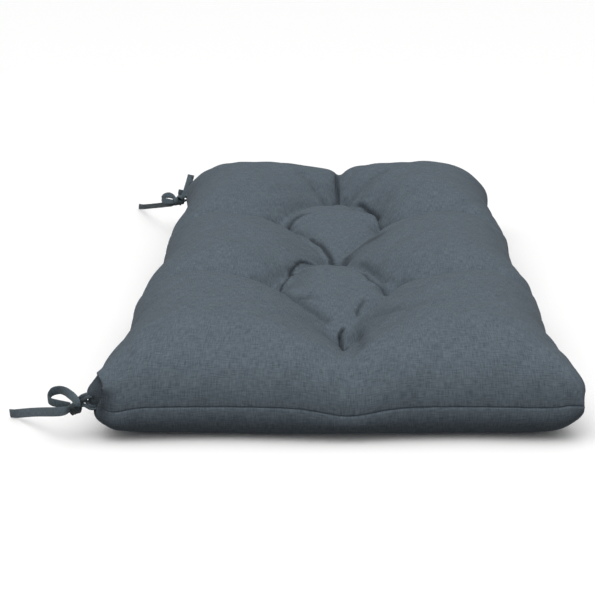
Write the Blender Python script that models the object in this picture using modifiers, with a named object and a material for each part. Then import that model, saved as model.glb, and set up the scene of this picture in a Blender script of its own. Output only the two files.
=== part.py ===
"""Tufted bench cushion with a knotted pair of tie tapes at each corner of its -X edge.

A flat, fibre-filled garden bench cushion. Two rectangular fabric panels are sewn together round their
rim, and seven tuft stitches in rows of one, two, one, two and one pull the panels together, so the
filling stands up in six side lumps and two diamond lumps. It lies on its back.

Frame, metres: +Z up, X across the width, Y along the length, origin under the middle of the cushion on
the surface that it rests on.
"""

import math

import bmesh
import bpy
import numpy as np
from mathutils import Vector

# Driving dimensions.
LENGTH = 1.000  # along Y, corner to corner at the seam
WIDTH = 0.506  # along X, corner to corner at the seam
SEAM_HEIGHT = 0.040  # rim seam above the surface
CROWN_RISE = 0.074  # top of the lumps above the seam
FAR_CROWN_EXTRA = 0.015  # the filling is fuller at the far end
FULL_FROM, FULL_TO = 0.10, 0.34  # where along Y that sets in

HALF_LENGTH = LENGTH / 2
HALF_WIDTH = WIDTH / 2

# Rim seam in plan. The filling draws it in beside each lump, and corners and valleys stand out.
LONG_SIDE_BOW = 0.0105
FAR_TAPER = {"left": 0.0060, "right": 0.0030}
LONG_SIDE_SCALLOP = 0.0080
SHORT_SIDE_SCALLOP = 0.0060
BOW_SQUARENESS = 8
CORNER_PULL = 0.0050
CORNER_SHARPNESS = 12
# The panels bulge out past the tight seam, above and below it.
SEAM_PINCH = 0.0050
SEAM_PINCH_REACH = 0.060
PINCH_CORNER = 0.025  # it fades out this near a corner
# The seam hangs lower where the first valley reaches it.
SEAM_DIP = 0.0060
SEAM_DIP_AT = 0.0115
SEAM_DIP_SPREAD = 0.040
SEAM_DIP_DEPTH = 0.080

# How far in from the seam the crown reaches its full height, and the underside the surface.
CROWN_REACH_SIDE = 0.088
CROWN_REACH_NEAR = 0.100
CROWN_REACH_FAR = 0.085
BELLY_REACH = 0.040
TOP_CORNER_FILL = 2.5
BELLY_CORNER_FILL = 0.8
# The underside leaves the surface earlier under the corners and under the valley at the near edge.
BELLY_CORNER_SLACK = 0.9
SLACK_SHARPNESS = 6
BELLY_VALLEY_SLACK = 0.35
BELLY_VALLEY_SPREAD = 0.045

# Tufts, in rows evenly spaced along the length.
ROW_PITCH = LENGTH / 6
SIDE_TUFT = 0.0780
MIDDLE = -0.0050  # the rows lie a little towards -X
TUFTS = {
    # name: (x, y)
    "row1": (0.0055, -2 * ROW_PITCH),
    "row2_left": (MIDDLE - SIDE_TUFT, -ROW_PITCH),
    "row2_right": (MIDDLE + SIDE_TUFT, -ROW_PITCH),
    "row3": (MIDDLE, 0.0),
    "row4_left": (MIDDLE - SIDE_TUFT, ROW_PITCH),
    "row4_right": (MIDDLE + SIDE_TUFT, ROW_PITCH),
    "row5": (0.0, 2 * ROW_PITCH),
}
EDGE_POINTS = {
    # name: (x, y)
    "near_edge": (SEAM_DIP_AT, -HALF_LENGTH),
    "far_edge": (0.0060, HALF_LENGTH),
    "left_near": (-HALF_WIDTH, -ROW_PITCH),
    "right_near": (HALF_WIDTH, -ROW_PITCH),
    "left_far": (-HALF_WIDTH, ROW_PITCH),
    "right_far": (HALF_WIDTH, ROW_PITCH),
}
# Valleys between the lumps: the share of the crown's height left in the valley at its start, half way
# and at its end, and how far to each side the lumps take to regain their full height.
VALLEYS = (
    # start, end, share at start, half way, at end, reach
    ("row1", "near_edge", 0.26, 0.42, 0.85, 0.070),
    ("row1", "row2_left", 0.40, 0.55, 0.42, 0.085),
    ("row1", "row2_right", 0.40, 0.55, 0.42, 0.085),
    ("row2_left", "row3", 0.38, 0.48, 0.42, 0.085),
    ("row2_right", "row3", 0.42, 0.50, 0.42, 0.085),
    ("row3", "row4_left", 0.42, 0.52, 0.42, 0.085),
    ("row3", "row4_right", 0.42, 0.52, 0.42, 0.085),
    ("row4_left", "row5", 0.42, 0.54, 0.42, 0.085),
    ("row4_right", "row5", 0.40, 0.50, 0.42, 0.085),
    ("row5", "far_edge", 0.42, 0.64, 0.78, 0.050),
    ("row2_left", "left_near", 0.42, 0.62, 0.86, 0.090),
    ("row2_right", "right_near", 0.42, 0.62, 0.86, 0.090),
    ("row4_left", "left_far", 0.42, 0.62, 0.86, 0.090),
    ("row4_right", "right_far", 0.42, 0.62, 0.86, 0.090),
)
VALLEY_BLEND = 7.0  # how sharply two valleys meet
TUFT_SHARE = 0.14  # share of the crown left at the stitch itself
TUFT_REACH = 0.042
# The diamond lumps are narrower than the side lumps and stand lower.
CENTRE_TROUGH = 0.34
CENTRE_TROUGH_SPREAD = 0.075
TROUGH_FADE_FROM, TROUGH_FADE_TO = 0.31, 0.48
# Smaller folds that the tufts draw in the panel.
FOLDS = (
    # start x, start y, end x, end y, depth, reach to each side
    (0.025, -0.305, 0.112, -0.345, 0.0055, 0.032),
    (0.022, -0.315, 0.028, -0.430, 0.0045, 0.028),
    (-0.050, -0.275, -0.018, -0.232, 0.0050, 0.026),
    (0.026, 0.295, 0.095, 0.300, 0.0045, 0.030),
    (0.022, 0.360, 0.040, 0.450, 0.0040, 0.028),
    (-0.020, 0.352, -0.058, 0.450, 0.0045, 0.032),
)
FOLD_FADE = 0.6  # share of its depth that a fold loses along its run

# Underside: a dimple under each tuft.
DIMPLE_HEIGHT = 0.014
DIMPLE_REACH = 0.050

# Tie tapes: flat woven tape, gathered to a narrow strand between the seam and the knot.
TAPE_WIDTH = 0.0094
TAPE_THICKNESS = 0.0011
STRAND_WIDTH = 0.0036
STRAND_ARCH = 0.0012
CORNER_SEARCH, CORNER_STEPS = 0.1, 400  # how far in from a corner a strand may start
KNOT_RADII = (0.0052, 0.0048, 0.0074)
KNOT_AROUND, KNOT_RINGS = 14, 9
SAMPLES_PER_ROW = 3

# Mesh of the cushion. Points this near the surface lie on it.
CELLS_ACROSS = 100
CELLS_ALONG = 190
TRIANGLE_TARGET = 9600
FLOOR_SNAP = 0.0006

FABRIC_COLOUR = (0.095, 0.120, 0.145, 1.0)
TAPE_COLOUR = (0.060, 0.078, 0.098, 1.0)


def arc_rise(distance, reach):
    """0 at distance 0 and 1 from reach on, along a quarter of an ellipse."""
    t = np.clip(distance / reach, 0.0, 1.0)
    return np.sqrt(t * (2.0 - t))


def bump(distance, reach):
    """1 at distance 0, smoothly 0 from reach on."""
    t = np.clip(distance / reach, 0.0, 1.0)
    return (1.0 - t * t) ** 2


def ramp(value, start, end):
    """0 up to start, 1 from end on, smooth between."""
    t = np.clip((value - start) / (end - start), 0.0, 1.0)
    return t * t * (3.0 - 2.0 * t)


def seam_half_width(u, v):
    """Half width of the rim seam at v along the cushion, on the side that u is on."""
    along = (v + 1.0) / 2.0
    taper = np.where(u < 0, FAR_TAPER["left"], FAR_TAPER["right"])
    scallop = LONG_SIDE_SCALLOP * np.sin(3.0 * math.pi * along) ** 2
    return HALF_WIDTH - LONG_SIDE_BOW * (1.0 - v**BOW_SQUARENESS) - taper * along - scallop


def seam_half_length(u):
    return HALF_LENGTH - SHORT_SIDE_SCALLOP * np.sin(math.pi * u) ** 2


def rim_distances(u, v):
    """How far the panel's point u, v is from the long and the short seams, inwards."""
    across = seam_half_width(u, v) * (1.0 - np.abs(u))
    along = seam_half_length(u) * (1.0 - np.abs(v))
    return across, along


def bulge(distance, other):
    """How far the panel stands out past a seam at this distance in from it, and other from the next seam."""
    t = np.clip(distance / SEAM_PINCH_REACH, 0.0, 1.0)
    return SEAM_PINCH * 3.0 * np.sqrt(t) * (1.0 - t) ** 2 * ramp(other, 0.0, PINCH_CORNER)


def plan(u, v):
    """Plan position of the panel's point u, v, each from -1 to 1 across and along it."""
    across, along = rim_distances(u, v)
    pull = CORNER_PULL * np.abs(u * v) ** CORNER_SHARPNESS
    x = u * seam_half_width(u, v) + np.sign(u) * (bulge(across, along) - pull)
    y = v * seam_half_length(u) + np.sign(v) * (bulge(along, across) - pull)
    return x, y


def wall_rise(across, along, reach_x, reach_y, fill):
    """0 on the rim seam and 1 from the two reaches on; a higher fill makes fuller corners."""
    rise_x = np.maximum(arc_rise(across, reach_x), 1e-6)
    rise_y = np.maximum(arc_rise(along, reach_y), 1e-6)
    return (rise_x**-fill + rise_y**-fill - 1.0) ** (-1.0 / fill)


def to_segment(x, y, start, end):
    """Distance from a straight line in plan, and how far along it the nearest point is, 0 to 1."""
    run = np.subtract(end, start)
    t = ((x - start[0]) * run[0] + (y - start[1]) * run[1]) / (run @ run)
    t = np.clip(t, 0.0, 1.0)
    return np.hypot(x - start[0] - t * run[0], y - start[1] - t * run[1]), t


def through(first, middle, last, t):
    """A smooth curve through three shares, at t from 0 to 1."""
    return first * (1 - t) * (1 - 2 * t) + 4 * middle * t * (1 - t) + last * t * (2 * t - 1)


def crown_share(x, y):
    """Share of the crown's height that the valleys and tufts leave at x, y."""
    points = {**TUFTS, **EDGE_POINTS}
    total = np.ones_like(x)
    for start, end, first, middle, last, reach in VALLEYS:
        distance, t = to_segment(x, y, points[start], points[end])
        floor = through(first, middle, last, t)
        share = floor + (1.0 - floor) * arc_rise(distance, reach)
        total += share**-VALLEY_BLEND - 1.0
    share = total ** (-1.0 / VALLEY_BLEND)
    for tuft_x, tuft_y in TUFTS.values():
        pit = bump(np.hypot(x - tuft_x, y - tuft_y), TUFT_REACH)
        share -= pit * (share - TUFT_SHARE)
    trough = CENTRE_TROUGH * (1.0 - ramp(y, TROUGH_FADE_FROM, TROUGH_FADE_TO))
    return share * (1.0 - trough * np.exp(-((x / CENTRE_TROUGH_SPREAD) ** 2)))


def fold_depth(x, y):
    depth = np.zeros_like(x)
    for start_x, start_y, end_x, end_y, deepest, reach in FOLDS:
        distance, t = to_segment(x, y, (start_x, start_y), (end_x, end_y))
        depth += deepest * (1.0 - FOLD_FADE * t) * bump(distance, reach)
    return depth


def middle_height(x, v):
    """Height of the rim seam, carried inwards."""
    from_near = (v + 1.0) * HALF_LENGTH
    near = np.exp(-((from_near / SEAM_DIP_DEPTH) ** 2))
    return SEAM_HEIGHT - SEAM_DIP * near * np.exp(-(((x - SEAM_DIP_AT) / SEAM_DIP_SPREAD) ** 2))


def top_height(u, v, x, y):
    across, along = rim_distances(u, v)
    reach = np.where(v < 0, CROWN_REACH_NEAR, CROWN_REACH_FAR)
    wall = wall_rise(across, along, CROWN_REACH_SIDE, reach, TOP_CORNER_FILL)
    rise = CROWN_RISE + FAR_CROWN_EXTRA * ramp(y, FULL_FROM, FULL_TO)
    return middle_height(x, v) + wall * (rise * crown_share(x, y) - fold_depth(x, y))


def belly_height(u, v, x, y):
    across, along = rim_distances(u, v)
    valley = np.exp(-(((x - SEAM_DIP_AT) / BELLY_VALLEY_SPREAD) ** 2)) * (v < 0)
    slack = BELLY_CORNER_SLACK * (u * v) ** SLACK_SHARPNESS + BELLY_VALLEY_SLACK * valley
    reach = BELLY_REACH * (1.0 + slack)
    wall = wall_rise(across, along, reach, reach, BELLY_CORNER_FILL)
    height = middle_height(x, v) * (1.0 - wall)
    for tuft_x, tuft_y in TUFTS.values():
        height += DIMPLE_HEIGHT * bump(np.hypot(x - tuft_x, y - tuft_y), DIMPLE_REACH)
    return height


def make_material(name, colour, roughness):
    material = bpy.data.materials.new(name)
    material.use_nodes = True
    shader = material.node_tree.nodes["Principled BSDF"]
    shader.inputs["Base Color"].default_value = colour
    shader.inputs["Roughness"].default_value = roughness
    shader.inputs["Metallic"].default_value = 0.0
    return material


def add_object(name, mesh, collection, material):
    thing = bpy.data.objects.new(name, mesh)
    mesh.materials.append(material)
    mesh.shade_smooth()
    collection.objects.link(thing)
    return thing


def add_panel(mesh, height_of, facing_up):
    """One panel of the cushion as a grid, its rim on the seam."""
    made = bmesh.ops.create_grid(mesh, x_segments=CELLS_ACROSS, y_segments=CELLS_ALONG, size=1.0)
    verts = made["verts"]
    # A corner's face is split from the corner inwards, so that the two panels share no face there.
    for corner in [vert for vert in verts if len(vert.link_faces) == 1]:
        opposite = max(corner.link_faces[0].verts, key=lambda vert: (vert.co - corner.co).length)
        bmesh.ops.connect_verts(mesh, verts=[corner, opposite])
    grid = np.array([vert.co[:2] for vert in verts])
    # Cells are narrow at the rim, where the wall is steep.
    u, v = np.sin(grid * math.pi / 2).T
    x, y = plan(u, v)
    z = height_of(u, v, x, y)
    for vert, place in zip(verts, zip(x, y, z)):
        vert.co = place
    if not facing_up:
        faces = list({face for vert in verts for face in vert.link_faces})
        bmesh.ops.reverse_faces(mesh, faces=faces)


def build_cushion(collection, material):
    """Both panels on one seam, made lighter where they are smooth."""
    fine = bmesh.new()
    add_panel(fine, top_height, True)
    add_panel(fine, belly_height, False)
    bmesh.ops.remove_doubles(fine, verts=fine.verts, dist=1e-6)
    mesh = bpy.data.meshes.new("cushion fine")
    fine.to_mesh(mesh)
    fine.free()
    guide = bpy.data.objects.new("cushion fine", mesh)
    collection.objects.link(guide)
    triangles = sum(len(face.vertices) - 2 for face in mesh.polygons)
    fewer = guide.modifiers.new("fewer faces", "DECIMATE")
    fewer.ratio = TRIANGLE_TARGET / triangles
    graph = bpy.context.evaluated_depsgraph_get()
    light = bpy.data.meshes.new_from_object(guide.evaluated_get(graph))
    bpy.data.objects.remove(guide)
    bpy.data.meshes.remove(mesh)
    light.name = "cushion"
    for vert in light.vertices:
        if vert.co.z < FLOOR_SNAP:
            vert.co.z = 0.0
    return add_object("cushion", light, collection, material)


def corner_point(end, rise):
    """The panel's point on the -X corner at this end, -1 near and 1 far, at a rise above the seam."""
    inset = np.linspace(0.0, CORNER_SEARCH, CORNER_STEPS)
    u = inset - 1.0
    v = end * (1.0 - inset)
    x, y = plan(u, v)
    z = top_height(u, v, x, y)
    at = int(np.argmax(z >= SEAM_HEIGHT + rise))
    return Vector((x[at], y[at], z[at]))


def smooth_rows(rows, samples):
    """Rows of numbers along a smooth curve through the given rows."""
    rows = np.array(rows, float)
    padded = np.vstack([2 * rows[0] - rows[1], rows, 2 * rows[-1] - rows[-2]])
    made = []
    for before, start, end, after in zip(padded, padded[1:], padded[2:], padded[3:]):
        for t in np.arange(samples) / samples:
            swing = (2 * before - 5 * start + 4 * end - after) * t**2
            turn = (3 * start - before - 3 * end + after) * t**3
            made.append(start + ((end - before) * t + swing + turn) / 2)
    return made + [rows[-1]]


def add_tape(name, rows, collection, material):
    """A flat tape along rows of x, y, z, width, and the two level parts of its width's direction."""
    path = smooth_rows(rows, SAMPLES_PER_ROW)
    strip = bmesh.new()
    made = bmesh.ops.create_grid(strip, x_segments=1, y_segments=len(path) - 1, size=1.0)
    for vert in made["verts"]:
        edge = math.copysign(0.5, vert.co.x)
        x, y, z, width, lean_x, lean_y = path[round((vert.co.y + 1) / 2 * (len(path) - 1))]
        upright = math.sqrt(max(0.0, 1.0 - lean_x**2 - lean_y**2))
        side = Vector((lean_x, lean_y, upright)) * edge * width
        vert.co = Vector((x, y, z)) + side
    mesh = bpy.data.meshes.new(name)
    strip.to_mesh(mesh)
    strip.free()
    tape = add_object(name, mesh, collection, material)
    thick = tape.modifiers.new("tape thickness", "SOLIDIFY")
    thick.thickness = TAPE_THICKNESS
    thick.offset = 0.0
    return tape


def add_strand(name, end, rise, stand_off, knot, arrive, collection, material):
    """A gathered strand from the seam at the corner, arching a little, to beside the knot."""
    seam = corner_point(end, rise)
    out = Vector((-1.0, end, 0.0)).normalized()
    start = seam + out * (stand_off + TAPE_THICKNESS / 2)
    finish = Vector(knot) + Vector(arrive)
    middle = (start + finish) / 2 + Vector((0.0, 0.0, STRAND_ARCH))
    rows = [(*point, STRAND_WIDTH, 0.0, 0.0) for point in (start, middle, finish)]
    return add_tape(name, rows, collection, material)


def add_knot(name, place, collection, material):
    ball = bmesh.new()
    bmesh.ops.create_uvsphere(ball, u_segments=KNOT_AROUND, v_segments=KNOT_RINGS, radius=1.0)
    for vert in ball.verts:
        vert.co = Vector(place) + Vector(a * b for a, b in zip(vert.co, KNOT_RADII))
    mesh = bpy.data.meshes.new(name)
    ball.to_mesh(mesh)
    ball.free()
    return add_object(name, mesh, collection, material)


W = TAPE_WIDTH
# Routes of the tapes. The lean is the level part of the direction in which the tape's width points.
NEAR_KNOT = (-0.2632, -0.4905, 0.0382)
NEAR_LOOP = (
    # x, y, z, width, lean x, lean y
    (-0.2681, -0.4856, 0.0432, 0.55 * W, 0.0, -0.2),
    (-0.2710, -0.4800, 0.0466, 0.85 * W, 0.0, -0.2),
    (-0.2765, -0.4740, 0.0491, W, 0.0, -0.2),
    (-0.2831, -0.4700, 0.0485, W, 0.0, -0.2),
    (-0.2893, -0.4710, 0.0467, W, 0.0, -0.2),
    (-0.2926, -0.4755, 0.0443, W, 0.0, -0.2),
    (-0.2920, -0.4820, 0.0427, W, 0.0, -0.2),
    (-0.2875, -0.4865, 0.0415, W, 0.0, -0.2),
    (-0.2810, -0.4885, 0.0406, W, 0.0, -0.2),
    (-0.2749, -0.4890, 0.0393, 0.8 * W, 0.0, -0.2),
    (-0.2692, -0.4887, 0.0385, 0.5 * W, 0.0, -0.2),
)
NEAR_TAIL = (
    (-0.2680, -0.4938, 0.0368, 0.6 * W, 0.0, 0.0),
    (-0.2725, -0.4965, 0.0361, 0.9 * W, 0.0, 0.0),
    (-0.2784, -0.4955, 0.0347, W, 0.0, 0.0),
    (-0.2867, -0.4895, 0.0322, W, 0.0, 0.0),
    (-0.2984, -0.4755, 0.0272, W, 0.0, 0.0),
    (-0.3126, -0.4567, 0.0202, W, 0.0, 0.0),
    (-0.3270, -0.4380, 0.0128, W, 0.0, 0.0),
    (-0.3386, -0.4240, 0.0070, W, 0.0, 0.0),
    (-0.3463, -0.4172, 0.0050, W, 0.0, 0.0),
)
FAR_KNOT = (-0.2612, 0.4925, 0.0480)
FAR_LOOP = (
    (-0.2656, 0.4948, 0.0532, 0.5 * W, 0.0, -0.2),
    (-0.2692, 0.4985, 0.0560, 0.8 * W, 0.0, -0.2),
    (-0.2763, 0.5025, 0.0574, W, 0.0, -0.2),
    (-0.2830, 0.5030, 0.0560, W, 0.0, -0.2),
    (-0.2862, 0.4995, 0.0530, W, 0.0, -0.2),
    (-0.2840, 0.4955, 0.0506, W, 0.0, -0.2),
    (-0.2790, 0.4935, 0.0496, W, 0.0, -0.2),
    (-0.2730, 0.4925, 0.0492, 0.8 * W, 0.0, -0.2),
    (-0.2672, 0.4925, 0.0484, 0.5 * W, 0.0, -0.2),
)
FAR_TAIL = (
    (-0.2662, 0.4950, 0.0440, 0.6 * W, 0.0, 0.0),
    (-0.2700, 0.4972, 0.0434, 0.9 * W, -0.1, 0.0),
    (-0.2750, 0.5015, 0.0420, W, -0.2, -0.1),
    (-0.2830, 0.5120, 0.0390, W, -0.3, -0.1),
    (-0.2919, 0.5320, 0.0338, W, -0.4, -0.2),
    (-0.3064, 0.5670, 0.0256, W, -0.4, -0.2),
    (-0.3216, 0.6070, 0.0163, W, -0.4, -0.2),
    (-0.3363, 0.6440, 0.0080, W, -0.4, -0.2),
    (-0.3460, 0.6620, 0.0048, W, -0.4, -0.2),
)
FAR_STUB = (
    (-0.2580, 0.4940, 0.0564, 0.4 * W, 0.80, 0.0),
    (-0.2562, 0.4945, 0.0604, 0.65 * W, 0.90, 0.0),
    (-0.2544, 0.4945, 0.0688, 0.75 * W, 0.95, 0.0),
)
FAR_UPRIGHT = (
    (-0.2552, 0.4892, 0.0525, 0.4 * W, 0.70, 0.0),
    (-0.2522, 0.4885, 0.0575, 0.65 * W, 0.85, 0.0),
    (-0.2482, 0.4885, 0.0640, W, 0.96, 0.0),
    (-0.2444, 0.4885, 0.0730, W, 0.96, 0.0),
    (-0.2412, 0.4885, 0.0820, W, 0.96, 0.0),
    (-0.2384, 0.4885, 0.0925, W, 0.96, 0.0),
)
STRANDS = (
    # name, end of the cushion, rise above the seam, stand-off, knot, arrival beside the knot
    ("near_strand_low", -1, 0.0, 0.0003, NEAR_KNOT, (0.0060, -0.0005, -0.0030)),
    ("near_strand_high", -1, 0.011, 0.0006, NEAR_KNOT, (0.0050, 0.0010, 0.0060)),
    ("far_strand", 1, 0.011, 0.0004, FAR_KNOT, (0.0058, 0.0000, 0.0030)),
)


def build_ties(collection, material):
    add_knot("near_knot", NEAR_KNOT, collection, material)
    add_tape("near_loop", NEAR_LOOP, collection, material)
    add_tape("near_tail", NEAR_TAIL, collection, material)
    add_knot("far_knot", FAR_KNOT, collection, material)
    add_tape("far_loop", FAR_LOOP, collection, material)
    add_tape("far_tail", FAR_TAIL, collection, material)
    add_tape("far_stub", FAR_STUB, collection, material)
    add_tape("far_upright", FAR_UPRIGHT, collection, material)
    for name, end, rise, stand_off, knot, arrive in STRANDS:
        add_strand(name, end, rise, stand_off, knot, arrive, collection, material)


def main():
    for item in list(bpy.data.objects):
        bpy.data.objects.remove(item, do_unlink=True)
    collection = bpy.data.collections.new("tufted bench cushion")
    bpy.context.scene.collection.children.link(collection)
    build_cushion(collection, make_material("woven polyester", FABRIC_COLOUR, 0.9))
    build_ties(collection, make_material("polyester tape", TAPE_COLOUR, 0.8))


main()
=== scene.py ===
# %% [markdown]
# # A tufted bench cushion
#
# The real object is two rectangles of woven polyester, sewn together round the rim and filled with loose
# fibre. Seven tuft stitches pull the two panels together, so the filling stands up in six side lumps with
# two diamond lumps between them. A pair of woven tapes is sewn into each corner of one long edge.
#
# The measured model comes in first, as a fixed frame. Everything here is made around it, in metres.

# %% Load the frame
import math

import bmesh
import bpy
import numpy as np
from mathutils import Matrix, Vector
from mathutils.bvhtree import BVHTree
from mathutils.kdtree import KDTree


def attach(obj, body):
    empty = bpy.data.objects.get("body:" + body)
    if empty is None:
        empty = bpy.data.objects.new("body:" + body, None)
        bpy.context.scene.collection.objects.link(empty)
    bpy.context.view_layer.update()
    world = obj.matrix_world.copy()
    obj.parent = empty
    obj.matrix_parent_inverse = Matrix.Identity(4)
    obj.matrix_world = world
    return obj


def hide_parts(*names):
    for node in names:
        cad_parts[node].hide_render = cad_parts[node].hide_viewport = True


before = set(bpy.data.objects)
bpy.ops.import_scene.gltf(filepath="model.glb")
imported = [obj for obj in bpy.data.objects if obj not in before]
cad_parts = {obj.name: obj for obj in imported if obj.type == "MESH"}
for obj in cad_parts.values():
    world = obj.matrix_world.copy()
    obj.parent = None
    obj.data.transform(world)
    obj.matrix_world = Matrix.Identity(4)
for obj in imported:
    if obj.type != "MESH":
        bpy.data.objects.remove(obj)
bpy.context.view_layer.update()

BODY = "root"
print("pieces in the frame:", sorted(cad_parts))

# %% [markdown]
# ## The camera
#
# The picture looks along the cushion from a little above its near short edge. The two long edges meet at
# a vanishing point well above the picture, which gives the tilt, and the near edge's width gives the
# distance. The camera is level from side to side. The picture was cropped off-centre, so the lens is
# shifted sideways rather than turned, which keeps upright things upright.

# %% Camera
SENSOR = 36.0
FOCAL_LENGTH = 90.76
TILT = math.radians(15.163)
CAMERA_PLACE = (-0.0025, -1.9172, 0.5384)
SIDE_SHIFT = -0.063

lens = bpy.data.cameras.new("camera")
lens.sensor_width = SENSOR
lens.lens = FOCAL_LENGTH
lens.shift_x = SIDE_SHIFT
camera = bpy.data.objects.new("camera", lens)
camera.location = CAMERA_PLACE
camera.rotation_euler = (math.pi / 2 - TILT, 0.0, 0.0)
bpy.context.scene.collection.objects.link(camera)
bpy.context.scene.camera = camera
print(f"camera {Vector(CAMERA_PLACE).length:.2f} m from the cushion's middle")

# %% [markdown]
# ## Small helpers
#
# A finished piece keeps its object at the origin, with its place in its mesh, so that the patterns in its
# material stay put. One function wraps a mesh in an object. Another bakes modifiers into a plain mesh. The
# tables of points are in millimetres, which read better, and mm() turns them into metres.

# %% Objects and meshes
TINY = 1e-6  # points nearer to each other than this touch


def mm(values):
    """Millimetres as metres."""
    return np.array(values, float) / 1000


def new_object(name, mesh):
    thing = bpy.data.objects.new(name, mesh)
    bpy.context.scene.collection.objects.link(thing)
    return thing


def baked(thing):
    """The object again as a plain mesh, as its modifiers leave it. The original is removed."""
    graph = bpy.context.evaluated_depsgraph_get()
    mesh = bpy.data.meshes.new_from_object(thing.evaluated_get(graph), depsgraph=graph)
    name = thing.name
    bpy.data.objects.remove(thing)
    mesh.name = name
    return new_object(name, mesh)


def finished(work, name):
    """The mesh that a bmesh was worked into."""
    mesh = bpy.data.meshes.new(name)
    work.to_mesh(mesh)
    work.free()
    return mesh


def triangles(thing):
    return sum(len(face.vertices) - 2 for face in thing.data.polygons)


def points_of(mesh):
    points = np.empty(len(mesh.vertices) * 3, np.float32)
    mesh.vertices.foreach_get("co", points)
    return points.reshape(-1, 3).astype(float)


def move_points(mesh, points):
    mesh.vertices.foreach_set("co", points.astype(np.float32).ravel())
    mesh.update()


def vertex_values(mesh, name):
    return np.array([item.value for item in mesh.attributes[name].data])


def normals_of(mesh):
    return np.array([vertex.normal[:] for vertex in mesh.vertices])


def marked_group(thing, name, chosen):
    """A vertex group of the chosen points."""
    group = thing.vertex_groups.new(name=name)
    group.add(np.flatnonzero(chosen).tolist(), 1.0, "REPLACE")
    return group


def note_shade(mesh, shades):
    """Notes how shaded each point is, on top of what is noted already."""
    noted = mesh.attributes.get("fold_shade") or mesh.attributes.new("fold_shade", "FLOAT", "POINT")
    shades = np.maximum(vertex_values(mesh, "fold_shade"), shades)
    noted.data.foreach_set("value", shades.astype(np.float32))


def bump(distance, reach):
    """1 at distance 0, smoothly 0 from reach on."""
    t = np.clip(distance / reach, 0.0, 1.0)
    return (1.0 - t * t) ** 2


# %% [markdown]
# ## The tie tapes
#
# Each tie is one length of flat woven tape, a little over 9 mm wide, doubled and sewn into the corner of
# the seam. Near the seam it is gathered to a narrow strand. Then comes a small knot, and past it a loop
# and the free ends. A tape could be a curve with a flat bevel, but its width has to change and lean as it
# leaves the knot, so each one is a tube with a flat oval section, carried along a smooth line through a
# short list of points. The width's direction is given at each point too.

# %% Routes of the tapes
TAPE = 0.0094
TAPE_THICKNESS = 0.0011
ROUTES = {
    # name: rows of x, y, z in mm, share of the tape's width, and the level parts of the width's direction
    "near_loop": (
        (-260.7, -495.8, 40, 0.7, 0.95, 0), (-260.9, -495.8, 44.5, 0.78, 0.9, 0),
        (-263.7, -493, 47.9, 0.88, 0.72, 0), (-269.1, -487, 49.9, 0.95, 0.55, -0.1),
        (-275.5, -479, 50.5, 1, 0.3, -0.2), (-282.6, -472.5, 49.6, 1, 0, -0.2),
        (-289.3, -471, 47.2, 1, 0, -0.2), (-292.6, -475.5, 44.3, 1, 0, -0.2),
        (-292, -482, 42.7, 1, 0, -0.2), (-287.5, -486.5, 41.5, 1, 0, -0.2),
        (-281, -488.5, 40.8, 0.95, 0, -0.2), (-274.9, -489, 40.4, 0.75, 0, -0.2),
        (-268.6, -489, 40, 0.5, 0, -0.2),
    ),
    "near_tail": (
        (-268, -493.8, 36.8, 0.6, 0, 0), (-272.5, -496.5, 36.1, 0.9, 0.15, 0.15),
        (-278.4, -495.5, 34.7, 1, 0.15, 0.15), (-286.7, -489.5, 32.2, 1, 0.15, 0.15),
        (-298.4, -475.5, 27.2, 1, 0.15, 0.15), (-312.6, -456.7, 20.2, 1, 0.15, 0.15),
        (-327, -438, 12.8, 1, 0.15, 0.15), (-338.6, -424, 7, 1, 0, 0), (-346.3, -417.2, 5, 1, 0, 0),
    ),
    "far_loop": (
        (-263.2, 493.5, 52, 0.6, 0, 0.2), (-269, 498.5, 55.6, 0.85, 0, 0.3),
        (-275.5, 502, 56.8, 1, 0, 0.3), (-281.5, 502, 55.6, 0.85, 0, 0.3),
        (-285.6, 499, 52.8, 0.6, 0, 0.3), (-283.8, 495.5, 50, 0.85, 0, 0.3),
        (-278.7, 493.5, 48.6, 1, 0, 0.3), (-272.7, 492.5, 48, 0.9, 0, 0.3),
        (-264, 492.5, 47.2, 0.6, 0, 0.2),
    ),
    "far_tail": (
        (-266.2, 495, 44, 0.6, 0, 0), (-270, 497.2, 43.4, 0.9, -0.1, 0), (-275, 501.5, 42, 1, -0.2, -0.1),
        (-283, 512, 39, 1, -0.4, -0.1), (-291.9, 532, 33.8, 1, -0.45, -0.2),
        (-306.4, 567, 25.6, 1, -0.45, -0.2), (-321.6, 607, 16.3, 1, -0.45, -0.2),
        (-336.3, 644, 8, 1, -0.25, -0.2), (-346, 662, 4.8, 1, 0.25, -0.1),
    ),
    "far_stub": (
        (-256.6, 494, 56, 0.6, -0.8, 0), (-254.6, 494.5, 60.4, 1, -0.86, 0),
        (-253.2, 494.5, 67.2, 1, -0.9, 0),
    ),
    "far_upright": (
        (-254, 489.2, 52.9, 0.45, 0.7, 0), (-250.5, 489.3, 57.6, 0.75, 0.85, 0),
        (-246.5, 491.2, 63.5, 1, 0.96, 0.1), (-243.2, 495, 71.8, 1.12, 0.96, 0.2),
        (-240.4, 500, 80.5, 1.15, 0.96, 0.2), (-238.1, 506, 89.7, 1.15, 0.96, 0.2),
    ),
}

# %% A tube with a flat oval section
SAMPLES_PER_ROW = 7
SECTION_POINTS = 16
SECTION_SQUARENESS = 0.55  # below 1 the section's ends are blunter than an oval's, like a selvedge
SHARP_ANGLE = math.radians(50)  # edges sharper than this stay sharp in the shading
GATHER = 1.0  # how much thicker a tape gets where it is gathered narrow


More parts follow.
